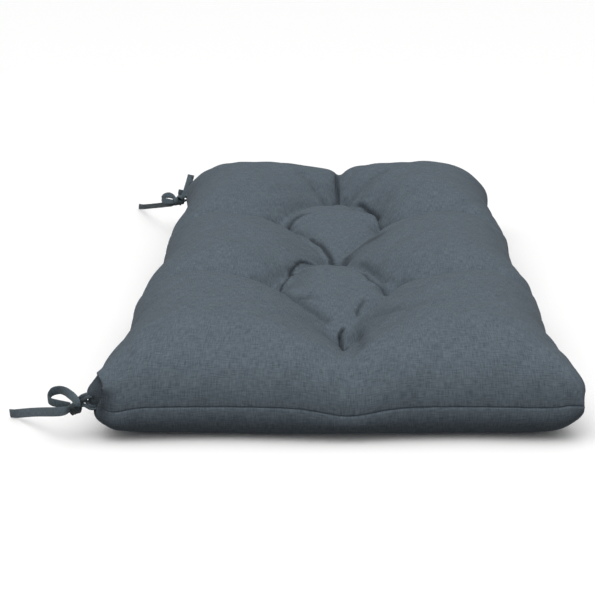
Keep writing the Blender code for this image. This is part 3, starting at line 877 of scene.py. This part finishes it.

# %% [markdown]
# ## Seam and folds
#
# The rim seam is a plain one: the panels are laid face to face, sewn and turned, so all that shows is a
# narrow groove with the cloth turning into it from both sides. Where two lumps press together the cloth
# between them closes to a sharp fold, and a few soft creases run out from the tufts over the shoulders of
# the lumps. Each fold is placed along a short, given line over the panel. The cloth sinks towards the
# line, and the cells beside a sharp fold are split first so that they can follow it. A closed fold is a
# slit that gets no light, finer than any mesh, so a vertex attribute also notes how shaded the cloth is
# there, and the material darkens by it.

# %% Lines of the folds
# A fold's shade is painted shade: the material darkens the cloth's colour by it, in the closed slits and the
# pocket at the near tie, and, for the wide shallow folds, over flanks, shoulders and the flap by the near tie
# that get little light.
FOLDS = {
    # name: depth and reach to the left and right of the line in mm, shade, then its points in mm: x, y on the
    # panel, or x, y, z
    "left of the near diamond": (
        6, 2.8, 2.6, 0.82, (-74, -164), (-68.9, -152.1), (-64.7, -148.7), (-61, -140), (-58.5, -120),
        (-56.2, -96), (-55.4, -84.7), (-52.9, -72.9), (-49.6, -63.4), (-45.8, -50.6), (-39.9, -41.3),
        (-32.9, -33), (-22, -23),
    ),
    "left of the near diamond, where the lump leans over": (
        1.2, 5.2, 3, 0.72, (-61.2, -145), (-60, -130), (-59.1, -110), (-58.3, -93), (-56.6, -80),
        (-53, -68),
    ),
    "tuck left of the near diamond": (
        2, 4, 6, 0.22, (-56, -70), (-45.8, -54), (-39.6, -45), (-32, -38), (-20, -30),
    ),
    "left flank of the near diamond": (
        3, 12, 30, 0.15, (-64, -164), (-52, -150), (-50, -120), (-46, -95), (-40, -80),
    ),
    "on the near diamond": (
        3, 10, 10, 0.38, (-52, -209), (-43.7, -214.3), (-34.2, -215.4), (-24.8, -216.2), (-16, -216.5),
    ),
    "left of the near diamond, near half": (
        2.2, 5, 13, 0.3, (-10, -290), (-30, -253), (-44, -227), (-60, -198), (-70, -179), (-76, -169),
    ),
    "near right shoulder": (
        3, 22, 18, 0.14, (14.2, -311.4), (36.6, -306.7), (68, -340), (90, -342.5), (101.4, -334),
    ),
    "right of the near diamond, near half": (
        2.8, 4, 4.5, 0.36, (23.2, -272), (23.9, -263.6), (27.6, -241.9), (31.4, -227), (35, -208),
    ),
    "right of the near diamond, far half": (
        4, 6, 6, 0.5, (68, -163), (58.3, -155.7), (46.1, -148), (34.6, -120.6), (22, -55),
    ),
    "right of the far diamond": (
        6, 4.5, 8.5, 0.54, (74, 168), (64, 188), (60, 208), (56.3, 241.8), (49.5, 268), (42.4, 283.9),
        (34, 299), (22, 315),
    ),
    "left of the far diamond, far half": (
        4.5, 6, 14, 0.55, (-78, 172), (-67.1, 191), (-53, 204.5), (-38.8, 218),
    ),
    "left of the far diamond, near half": (
        6, 4.4, 9, 0.6, (-7, 5), (-9.2, 27.4), (-20.1, 62.6), (-35.5, 97.1), (-45, 116),
    ),
    "left of the far diamond, upper part": (
        3, 6, 14, 0.24, (-20.1, 62.6), (-35.5, 97.1), (-56, 138), (-70, 156),
    ),
    "right of the far diamond, near half": (3, 14, 30, 0.31, (-2, -2), (14, 20), (44, 76), (74, 150)),
    "left flank of the middle right lump": (
        0.8, 15, 17, 0.44, (2, 4), (17.5, 25.1), (30, 37), (47, 39.4), (57.8, 46.3), (71, 57),
    ),
    "foot of the middle right lump": (
        0.6, 7, 12, 0.28, (59, -137), (53, -115), (45.3, -89.9), (37, -63.4), (24, -33),
    ),
    "between the far lumps": (6, 4.8, 4.8, 0.62, (1.5, 345), (1.4, 381.8), (0.7, 416.5), (1, 460)),
    "far left shoulder": (3, 18, 18, 0.12, (-25.5, 343), (-38, 364.7), (-49, 375.5), (-60.3, 395.5)),
    "far right shoulder": (3, 18, 18, 0.12, (20, 340), (45, 355), (70, 375), (90, 385)),
    "hook at the nearest tuft": (
        6, 3.8, 3.2, 0.78, (10, -300), (5.9, -304.5), (3.1, -311.5), (4, -321.3), (6.2, -356),
        (8.3, -394.3), (11, -410),
    ),
    "below the nearest tuft": (4, 16, 16, 0.18, (20, -315), (22.5, -360), (21.6, -411.6), (23.1, -452.9)),
    "pleat at the near tie": (
        3.5, 2.4, 45, 0.62, (-244, -466, 69), (-242.5, -471.4, 66.3), (-238.6, -484.1, 64.2),
        (-235.9, -489.8, 59.7), (-235.8, -492, 54.1), (-236.6, -495.3, 48.9), (-239.9, -494.8, 42.4),
        (-243, -493, 33), (-240, -490, 20),
    ),
    "pocket at the near tie": (
        4.5, 8.5, 8.5, 0.85, (-244, -494, 54), (-245.5, -494.5, 48), (-246.5, -494.5, 43),
        (-247, -494, 39), (-246, -492, 30),
    ),
    # painted shade beside the near tie, over a dip of only 1 mm
    "gather and painted shade beside the near tie": (
        1, 16, 16, 0.62, (-233, -492, 60), (-233.5, -495, 52), (-234.5, -496, 44), (-236, -496, 34),
        (-234, -493, 18),
    ),
}
print(len(FOLDS), "folds are placed")

# %% Distance from a fold
SMOOTH_LINE = 4  # points drawn on a fold's line for each one given


def surface_of(mesh):
    return BVHTree.FromPolygons([v.co for v in mesh.vertices], [f.vertices[:] for f in mesh.polygons])


def on_surface(surface, x, y, facing=1.0):
    """The surface's point at x, y, seen from above, or from below where facing is -1."""
    return np.array(surface.ray_cast(Vector((x, y, facing)), Vector((0.0, 0.0, -facing)))[0])


def fold_lines(mesh):
    """The folds' lines on the panel, each with its sizes."""
    surface = surface_of(mesh)
    lines = []
    for depth, reach_left, reach_right, shade, *points in FOLDS.values():
        line = smooth_rows(mm(points), SMOOTH_LINE)
        if line.shape[1] == 2:
            line = np.array([on_surface(surface, x, y) for x, y in line])
        lines.append(((*mm((depth, reach_left, reach_right)), shade), line))
    return lines


def from_line(places, normals, line):
    """Distance of each place from a line, above 0 on its right, how far along it is, and its length."""
    nearest = np.full(len(places), np.inf)
    reached = np.zeros(len(places))
    right = np.ones(len(places))
    gone = 0.0
    for start, end in zip(line, line[1:]):
        run = end - start
        length = np.linalg.norm(run)
        t = np.clip((places - start) @ run / length**2, 0.0, 1.0)
        offset = places - start - t[:, None] * run
        distance = np.linalg.norm(offset, axis=1)
        closer = distance < nearest
        nearest = np.where(closer, distance, nearest)
        reached = np.where(closer, gone + t * length, reached)
        right = np.where(closer, np.sign((np.cross(run, normals) * offset).sum(1)), right)
        gone += length
    return nearest * np.where(right < 0.0, -1.0, 1.0), reached, gone


# %% Distance from the seam
GROOVE_SAMPLES = 12  # points drawn on the seam for each of the mesh's
GROOVE_NEAR = 0.012  # only points this near the seam in plan are measured


def seam_loop(mesh):
    """The numbers of the seam's points, in order round the rim."""
    on_seam = np.abs(vertex_values(mesh, "seam_distance")) < TINY
    beside = {}
    for edge in mesh.edges:
        start, end = edge.vertices
        if on_seam[start] and on_seam[end]:
            beside.setdefault(start, []).append(end)
            beside.setdefault(end, []).append(start)
    order = [next(iter(beside))]
    seen = set(order)
    while onward := [index for index in beside[order[-1]] if index not in seen]:
        order.append(onward[0])
        seen.add(onward[0])
    return order


def from_seam(mesh, places):
    """How far each place is from the seam. Places well inside a panel are only given as far."""
    order = seam_loop(mesh)
    line = smooth_rows(places[order + order[:1]], GROOVE_SAMPLES)
    tree = KDTree(len(line))
    for number, point in enumerate(line):
        tree.insert(point, number)
    tree.balance()
    distances = np.full(len(places), np.inf)
    for index in np.flatnonzero(np.abs(vertex_values(mesh, "seam_distance")) < GROOVE_NEAR):
        distances[index] = tree.find(places[index])[2]
    return distances


# %% Split cells beside the sharp folds and the seam
SHARP = 0.009  # folds that reach no further than this get finer cells
SPLIT_MARGIN = 0.0020
GROOVE_CUTS = 2


def split_cells(mesh, beside, cuts, crossing):
    """Splits the edges that lie in the marked places, or that run out of them where crossing is true."""
    work = bmesh.new()
    work.from_mesh(mesh)
    wanted = 1 if crossing else 2
    edges = [edge for edge in work.edges if sum(beside[vert.index] for vert in edge.verts) == wanted]
    bmesh.ops.subdivide_edges(work, edges=edges, cuts=cuts, use_grid_fill=True)
    work.to_mesh(mesh)
    work.free()
    mesh.shade_smooth()


def refine(mesh, lines):
    places, normals = points_of(mesh), normals_of(mesh)
    beside = np.zeros(len(places), bool)
    for (_, reach_left, _, _), line in lines:
        if reach_left <= SHARP:
            beside |= np.abs(from_line(places, normals, line)[0]) < reach_left + SPLIT_MARGIN
    split_cells(mesh, beside, 1, crossing=False)
    on_seam = np.abs(vertex_values(mesh, "seam_distance")) < TINY
    split_cells(mesh, on_seam, GROOVE_CUTS, crossing=True)


# %% Sink the folds and the seam
SINK_SHARPNESS = 1.6  # above 1 the bottom of a fold is sharp
SHADE_SHARPNESS = 1.2
TAPER_START = 0.008  # a fold runs out to nothing over these lengths
TAPER_END = 0.022
BLUNT_START = 0.3  # share of its first length by which a fold starts a little open
GROOVE_DEPTH = 0.0011
GROOVE_REACH = 0.0016
GROOVE_SHADE = 0.10
TUFT_SHADE = 0.45
TUFT_SHADE_REACH = 0.011


def sink(mesh, lines):
    places, normals = points_of(mesh), normals_of(mesh)
    sunk = np.zeros(len(places))
    shades = np.zeros(len(places))
    for (depth, reach_left, reach_right, shade), line in lines:
        distance, reached, length = from_line(places, normals, line)
        reach = np.where(distance < 0.0, reach_left, reach_right)
        fade = ramp(reached, -BLUNT_START * TAPER_START, TAPER_START)
        fade *= ramp(length - reached, 0.0, TAPER_END)
        closeness = np.clip(1.0 - np.abs(distance) / reach, 0.0, 1.0)
        sunk = np.maximum(sunk, depth * fade * closeness**SINK_SHARPNESS)
        shades = np.maximum(shades, shade * fade * closeness**SHADE_SHARPNESS)
    for away in from_tufts(places[:, 0], places[:, 1]):
        shades = np.maximum(shades, TUFT_SHADE * bump(away, TUFT_SHADE_REACH))
    closeness = np.clip(1.0 - from_seam(mesh, places) / GROOVE_REACH, 0.0, 1.0)
    sunk = np.maximum(sunk, GROOVE_DEPTH * closeness**SINK_SHARPNESS)
    shades = np.maximum(shades, GROOVE_SHADE * closeness**SINK_SHARPNESS)
    move_points(mesh, places - normals * sunk[:, None])
    note_shade(mesh, shades)


lines = fold_lines(cushion.data)
refine(cushion.data, lines)
sink(cushion.data, lines)
print("triangles in the folded cushion:", triangles(cushion))

# %% Thin out the underside
UNDERSIDE_KEPT = 0.14  # share of the underside's triangles
UNDERSIDE_FROM = -0.010  # the panel's part this far in from the seam


def thin_underside(thing):
    """The underside is smooth and nearly flat, so it holds its shape with far fewer cells."""
    below = vertex_values(thing.data, "seam_distance") < UNDERSIDE_FROM
    thinner = thing.modifiers.new("thinner underside", "DECIMATE")
    thinner.ratio = 1.0 - (1.0 - UNDERSIDE_KEPT) * below.mean()
    thinner.vertex_group = marked_group(thing, "underside", below).name
    thinned = baked(thing)
    thinned.vertex_groups.clear()
    return thinned


cushion = thin_underside(cushion)
print("triangles in the finished cushion:", triangles(cushion))

# %% [markdown]
# ## Materials
#
# The cover is plain-woven polyester, spun to look like linen: blue-grey, matt, with thick and thin places
# in the yarn that show as short flecks both ways. The tape is a narrow, denser weave of the same fibre.

# %% Node helper and colours


def linear(hex_colour):
    """An sRGB hex colour as the linear values that a shader reads."""
    parts = [int(hex_colour[i : i + 2], 16) / 255 for i in (1, 3, 5)]
    return (*[c / 12.92 if c <= 0.04045 else ((c + 0.055) / 1.055) ** 2.4 for c in parts], 1.0)


def add_node(tree, kind, inputs=None, **settings):
    """A node with its settings. An input gets a value, a socket, or a node, which means its first output."""
    node = tree.nodes.new(kind)
    for key, value in settings.items():
        setattr(node, key, value)
    for socket, value in (inputs or {}).items():
        if isinstance(value, bpy.types.Node):
            value = value.outputs[0]
        if isinstance(value, bpy.types.NodeSocket):
            tree.links.new(value, node.inputs[socket])
        else:
            node.inputs[socket].default_value = value
    return node


def new_material(name, surface):
    """A material with its Principled shader's inputs set, and that shader and the tree round it."""
    material = bpy.data.materials.new(name)
    material.use_nodes = True
    shader = material.node_tree.nodes["Principled BSDF"]
    for socket, value in surface.items():
        shader.inputs[socket].default_value = value
    return material, shader, material.node_tree


def set_tones(colour_ramp, *stops):
    """The ramp's two colours, each with its place on the ramp."""
    for element, (place, hex_colour) in zip(colour_ramp.elements, stops):
        element.position = place
        element.color = linear(hex_colour)


print(f"mid grey #808080 is {linear('#808080')[0]:.3f} as light")


# %% Woven polyester
# Spun polyester in a plain weave: dyed yarn with thick and thin places. It scatters light broadly, so the
# eye sees almost no gloss, only a faint sheen from loose fibres where the cloth turns away.
FABRIC_DARK = "#495158"
FABRIC_LIGHT = "#636C73"
WAVE_PER_UNIT = 20.0 / (2.0 * math.pi)  # bands that a Wave texture of scale 1 has in each unit
YARN_PITCH = 0.0012  # the real yarns lie about 0.5 mm apart, too fine for the picture, so drawn coarser
SLUB_LENGTH = 0.0095
SLUB_WIDTH = 0.0011
PATCH_SHARE = 0.10
PATCH = 0.030  # size of the faint lighter and darker patches where the dye took unevenly
WEAVE_HEIGHT = 0.00045
SLUB_RELIEF = 0.35
YARN_RELIEF = 0.12


def both_ways(tree, cloth, kind, long, wide, inputs):
    """The mean of one pattern drawn along the warp and again along the weft."""
    drawn = []
    for size in ((long, wide), (wide, long)):
        scale = (1.0 / size[0], 1.0 / size[1], 1.0)
        place = add_node(tree, "ShaderNodeMapping", {"Vector": cloth, "Scale": scale})
        drawn.append(add_node(tree, kind, {"Vector": place, **inputs}).outputs["Fac"])
    total = add_node(tree, "ShaderNodeMath", {0: drawn[0], 1: drawn[1]}, operation="ADD")
    return add_node(tree, "ShaderNodeMath", {0: total, 1: 0.5}, operation="MULTIPLY")


def shaded(tree, colour):
    """The colour, darkened where the mesh's fold_shade says that little light gets in."""
    shade = add_node(tree, "ShaderNodeAttribute", attribute_name="fold_shade").outputs["Fac"]
    lit = add_node(tree, "ShaderNodeMath", {0: 1.0, 1: shade}, operation="SUBTRACT")
    return add_node(tree, "ShaderNodeVectorMath", {0: colour, "Scale": lit}, operation="SCALE").outputs[0]


def woven_polyester():
    material, shader, tree = new_material("plain woven polyester", {
        "Roughness": 0.92, "Specular IOR Level": 0.1, "Sheen Weight": 0.03, "Sheen Roughness": 0.45,
    })
    cloth = add_node(tree, "ShaderNodeUVMap", uv_map="cloth").outputs["UV"]
    fine_noise = {"Scale": 1.0, "Detail": 2.0, "Roughness": 0.6}
    slubs = both_ways(tree, cloth, "ShaderNodeTexNoise", SLUB_LENGTH, SLUB_WIDTH, fine_noise)
    patches = add_node(
        tree, "ShaderNodeTexNoise",
        {"Vector": cloth, "Scale": 1.0 / PATCH, "Detail": 3.0, "Roughness": 0.65},
    )
    mixed = add_node(
        tree, "ShaderNodeMath", {0: patches.outputs["Fac"], 1: PATCH_SHARE, 2: slubs},
        operation="MULTIPLY_ADD",
    )
    tone = add_node(tree, "ShaderNodeValToRGB", {"Fac": mixed})
    set_tones(tone.color_ramp, (0.42, FABRIC_DARK), (0.68, FABRIC_LIGHT))
    tree.links.new(shaded(tree, tone), shader.inputs["Base Color"])
    slub_relief = add_node(
        tree, "ShaderNodeBump", {"Height": slubs, "Strength": SLUB_RELIEF, "Distance": WEAVE_HEIGHT},
    )
    bands = {"Scale": 1.0 / WAVE_PER_UNIT}
    yarns = both_ways(tree, cloth, "ShaderNodeTexWave", YARN_PITCH, YARN_PITCH, bands)
    relief = add_node(
        tree, "ShaderNodeBump",
        {"Height": yarns, "Strength": YARN_RELIEF, "Distance": WEAVE_HEIGHT, "Normal": slub_relief},
    )
    tree.links.new(relief.outputs["Normal"], shader.inputs["Normal"])
    return material


cover_cloth = woven_polyester()
cushion.data.materials.append(cover_cloth)
print("cover:", cover_cloth.name)

# %% Woven tape
# Narrow woven polyester tape: denser and darker than the cover, with fine ribs across it. Its hard-twisted
# yarn shines a little more than the cover does.
TAPE_DARK = "#434E55"
TAPE_LIGHT = "#636F75"
RIB_PITCH = 0.0011
RIB_HEIGHT = 0.0003
RIB_RELIEF = 0.5
RIB_SHARE = 0.35  # how much the ribs count in the colour, beside the flecks
TAPE_FLECK = 0.0016


def woven_tape():
    material, shader, tree = new_material("narrow woven polyester tape", {
        "Roughness": 0.75, "Specular IOR Level": 0.25, "Sheen Weight": 0.06,
    })
    cloth = add_node(tree, "ShaderNodeUVMap", uv_map="cloth").outputs["UV"]
    ribs = add_node(
        tree, "ShaderNodeTexWave",
        {"Vector": cloth, "Scale": 1.0 / RIB_PITCH / WAVE_PER_UNIT, "Distortion": 0.6},
        bands_direction="X",
    ).outputs["Fac"]
    flecks = add_node(
        tree, "ShaderNodeTexNoise", {"Vector": cloth, "Scale": 1.0 / TAPE_FLECK, "Detail": 2.0},
    ).outputs["Fac"]
    mixed = add_node(tree, "ShaderNodeMath", {0: ribs, 1: RIB_SHARE, 2: flecks}, operation="MULTIPLY_ADD")
    tone = add_node(tree, "ShaderNodeValToRGB", {"Fac": mixed})
    set_tones(tone.color_ramp, (0.45, TAPE_DARK), (0.95, TAPE_LIGHT))
    tree.links.new(shaded(tree, tone), shader.inputs["Base Color"])
    relief = add_node(
        tree, "ShaderNodeBump", {"Height": ribs, "Strength": RIB_RELIEF, "Distance": RIB_HEIGHT},
    )
    tree.links.new(relief.outputs["Normal"], shader.inputs["Normal"])
    return material


tape_cloth = woven_tape()
for piece in in_the_ties.values():
    piece.data.materials.append(tape_cloth)
print("ties:", tape_cloth.name)

# %% [markdown]
# ## Thread
#
# The rim is sewn on a machine with polyester thread of the cloth's colour. From outside only the turned seam
# shows, with the thread just visible at the bottom of the groove. The stitches repeat along a path, so a
# Geometry Nodes tree lays them: it spaces points along the seam by the stitch length and puts a short piece
# of thread on each. Each tuft is tied off with a few turns of thicker thread at the bottom of its pit.

# %% Stitches along the seam
STITCH_LENGTH = 0.0040
STITCH_SHARE = 0.70  # how much of each stitch length the thread shows
THREAD = 0.0005
THREAD_SIDES = 5
THREAD_OUT = 0.0002  # the thread lies this far out of the groove's bottom


def stitch_tree():
    """Node tree: short pieces of thread along the edges that come in."""
    tree = bpy.data.node_groups.new("stitches along a line", "GeometryNodeTree")
    sockets = (
        ("Line", "Geometry"), ("Stitch length", "Float"), ("Shown length", "Float"),
        ("Thread thickness", "Float"), ("Thread", "Material"),
    )
    for name, kind in sockets:
        tree.interface.new_socket(name, in_out="INPUT", socket_type="NodeSocket" + kind)
    tree.interface.new_socket("Stitches", in_out="OUTPUT", socket_type="NodeSocketGeometry")
    given = add_node(tree, "NodeGroupInput").outputs
    line = add_node(tree, "GeometryNodeMeshToCurve", {"Mesh": given["Line"]})
    spaced_out = add_node(
        tree, "GeometryNodeResampleCurve", {"Curve": line, "Length": given["Stitch length"]}, mode="LENGTH",
    )
    radius = add_node(tree, "ShaderNodeMath", {0: given["Thread thickness"], 1: 0.5}, operation="MULTIPLY")
    piece = add_node(
        tree, "GeometryNodeMeshCylinder",
        {"Vertices": THREAD_SIDES, "Radius": radius, "Depth": given["Shown length"]},
    )
    tangent = add_node(tree, "GeometryNodeInputTangent")
    along = add_node(tree, "FunctionNodeAlignRotationToVector", {"Vector": tangent}, axis="Z")
    laid = add_node(
        tree, "GeometryNodeInstanceOnPoints", {"Points": spaced_out, "Instance": piece, "Rotation": along},
    )
    real = add_node(tree, "GeometryNodeRealizeInstances", {"Geometry": laid})
    coloured = add_node(tree, "GeometryNodeSetMaterial", {"Geometry": real, "Material": given["Thread"]})
    add_node(tree, "NodeGroupOutput", {"Stitches": coloured})
    return tree


def stitches(name, points, material):
    """Stitches along a closed line of points, as a plain mesh."""
    mesh = bpy.data.meshes.new(name)
    count = len(points)
    mesh.from_pydata(points.tolist(), [(i, (i + 1) % count) for i in range(count)], [])
    thing = new_object(name, mesh)
    layer = thing.modifiers.new("stitches", "NODES")
    layer.node_group = stitch_tree()
    sizes = {
        "Stitch length": STITCH_LENGTH,
        "Shown length": STITCH_LENGTH * STITCH_SHARE,
        "Thread thickness": THREAD,
        "Thread": material,
    }
    for socket in layer.node_group.interface.items_tree:
        if socket.name in sizes:
            layer[socket.identifier] = sizes[socket.name]
    return baked(thing)


# %% Sewing thread
# Polyester thread in the cloth's colour, twisted tight, so it is smoother and a little darker than the yarn.
THREAD_COLOUR = "#3F4850"
THREAD_TWIST = 0.0007


def sewing_thread():
    material, shader, tree = new_material("twisted polyester thread", {
        "Roughness": 0.6, "Specular IOR Level": 0.3,
    })
    place = add_node(tree, "ShaderNodeTexCoord").outputs["Object"]
    twist = add_node(
        tree, "ShaderNodeTexWave", {"Vector": place, "Scale": 1.0 / THREAD_TWIST / WAVE_PER_UNIT},
        bands_direction="DIAGONAL",
    )
    tone = add_node(tree, "ShaderNodeValToRGB", {"Fac": twist.outputs["Fac"]})
    set_tones(tone.color_ramp, (0.0, TAPE_DARK), (1.0, THREAD_COLOUR))
    tree.links.new(tone.outputs["Color"], shader.inputs["Base Color"])
    return material


thread = sewing_thread()
on_cushion, outwards = points_of(cushion.data), normals_of(cushion.data)
order = seam_loop(cushion.data)
seam_stitches = stitches("seam_stitches", on_cushion[order] + outwards[order] * THREAD_OUT, thread)
print("triangles in the seam stitches:", triangles(seam_stitches))

# %% Tuft ties
TUFT_THREAD = 0.0011
TUFT_TURN_RADIUS = 0.0024
TUFT_TURNS = 2.5
TUFT_TIE_POINTS = 36
TUFT_TIE_RISE = 0.0008  # the turns lie over each other
TUFT_TIE_SPREAD = 0.25  # how much the turns' radius wanders
TUFT_TIE_WANDER = 0.4  # how often it does so in a turn
TUFT_TIE_OUT = 0.3  # share of the thread by which the turns lie out of the cloth


def tuft_tie(name, middle, facing):
    """A few turns of thread, lying in the pit."""
    angles = np.linspace(0.0, TUFT_TURNS * 2 * math.pi, TUFT_TIE_POINTS)
    wander = 1.0 - TUFT_TIE_SPREAD + TUFT_TIE_SPREAD * np.cos(angles * TUFT_TIE_WANDER)
    radii = TUFT_TURN_RADIUS * wander
    climb = facing * TUFT_TIE_RISE * angles / angles[-1]
    centres = middle + np.column_stack([radii * np.cos(angles), radii * np.sin(angles), climb])
    sides = np.tile([0.0, 0.0, 1.0], (TUFT_TIE_POINTS, 1))
    sizes = np.full(TUFT_TIE_POINTS, TUFT_THREAD)
    return tape_mesh(name, centres, sides, sizes, sizes)[0]


def all_tuft_ties(cover):
    surface = surface_of(cover)
    meshes = []
    for name, (x, y) in TUFTS.items():
        for facing in (1.0, -1.0):
            out = (0.0, 0.0, facing * TUFT_THREAD * TUFT_TIE_OUT)
            meshes.append(tuft_tie(name, on_surface(surface, x, y, facing) + out, facing))
    return joined("tuft_ties", meshes)


tuft_ties = all_tuft_ties(cushion.data)
tuft_ties.data.materials.append(thread)
print("triangles in the tuft ties:", triangles(tuft_ties))

# %% [markdown]
# ## Floor and light
#
# The cushion lies on a plain pale floor. The light is a studio's: most of it comes from a wide pale ceiling,
# brightest overhead and a little in front, and one weak softbox in front lifts the near side. The walls give
# almost no light, which keeps the lower edges dark, but they are pale where the camera sees them.

# %% Floor
FLOOR_HALF = 60.0
FLOOR_COLOUR = "#FDFAF8"

floor_mesh = bmesh.new()
bmesh.ops.create_grid(floor_mesh, x_segments=1, y_segments=1, size=FLOOR_HALF)
floor = new_object("floor", finished(floor_mesh, "floor"))
floor_paint = {"Base Color": linear(FLOOR_COLOUR), "Roughness": 0.9}
floor.data.materials.append(new_material("pale painted floor", floor_paint)[0])
floor.visible_diffuse = False  # the studio's floor gives no bounce, so the cushion keeps a dark lower edge
print(f"floor {2 * FLOOR_HALF:.0f} m wide")

# %% Lights
ROOM_DIM = 0.125  # the room at eye level
ROOM_COLOUR = (0.96, 0.985, 1.0)
ROOM_BRIGHT = 2.1  # the ceiling where it is brightest
BRIGHTEST = (0.0, -0.32, 0.95)  # high and a little in front
ROOM_FOCUS = 2.2  # how fast the ceiling dims away from there
SOFTBOX_PLACE = (-0.5, -2.2, 3.0)
SOFTBOX_AIM = (0.0, -0.1, 0.05)
SOFTBOX_SIZE = 1.6
SOFTBOX_WATTS = 14.0


def soft_room():
    """A pale room, brightest overhead and in front, so that the light is soft and even on the floor."""
    room = bpy.data.worlds.new("pale room")
    room.use_nodes = True
    tree = room.node_tree
    direction = add_node(tree, "ShaderNodeTexCoord").outputs["Generated"]
    facing = add_node(tree, "ShaderNodeVectorMath", {0: direction, 1: BRIGHTEST}, operation="DOT_PRODUCT")
    above = add_node(tree, "ShaderNodeMath", {0: facing.outputs["Value"], 1: 0.0}, operation="MAXIMUM")
    focused = add_node(tree, "ShaderNodeMath", {0: above, 1: ROOM_FOCUS}, operation="POWER")
    light = add_node(
        tree, "ShaderNodeMath", {0: focused, 1: ROOM_BRIGHT, 2: ROOM_DIM}, operation="MULTIPLY_ADD",
    )
    seen = add_node(tree, "ShaderNodeLightPath").outputs["Is Camera Ray"]
    shown = add_node(tree, "ShaderNodeMath", {0: light, 1: seen}, operation="MAXIMUM")
    tree.links.new(shown.outputs[0], tree.nodes["Background"].inputs["Strength"])
    tree.nodes["Background"].inputs["Color"].default_value = (*ROOM_COLOUR, 1.0)
    return room


bpy.context.scene.world = soft_room()
light = bpy.data.lights.new("front softbox", "AREA")
light.size = SOFTBOX_SIZE
light.energy = SOFTBOX_WATTS
softbox = new_object("front softbox", light)
softbox.location = SOFTBOX_PLACE
towards = Vector(SOFTBOX_AIM) - Vector(SOFTBOX_PLACE)
softbox.rotation_euler = towards.to_track_quat("-Z", "Y").to_euler()
bpy.context.scene.view_settings.view_transform = "Standard"
print(f"softbox {towards.length:.1f} m away")

# %% [markdown]
# ## What each piece stands for
#
# Nothing on the cushion moves, so every piece rides on the one body.

FREE_ENDS = {
    # node: what is at its far end, and how it lies
    "near_loop": ("object", "loose"),
    "near_tail": ("bare", "loose"),
    "far_tail": ("bare", "loose"),
}

for sewn in (seam_stitches, tuft_ties):
    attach(sewn, BODY)
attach(cushion, BODY)
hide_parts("cushion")

for node, piece in in_the_ties.items():
    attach(piece, BODY)
    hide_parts(node)
for node, (far_end, lay) in FREE_ENDS.items():
    piece, centres, length = tapes[node]
print("cords:", ", ".join(FREE_ENDS))
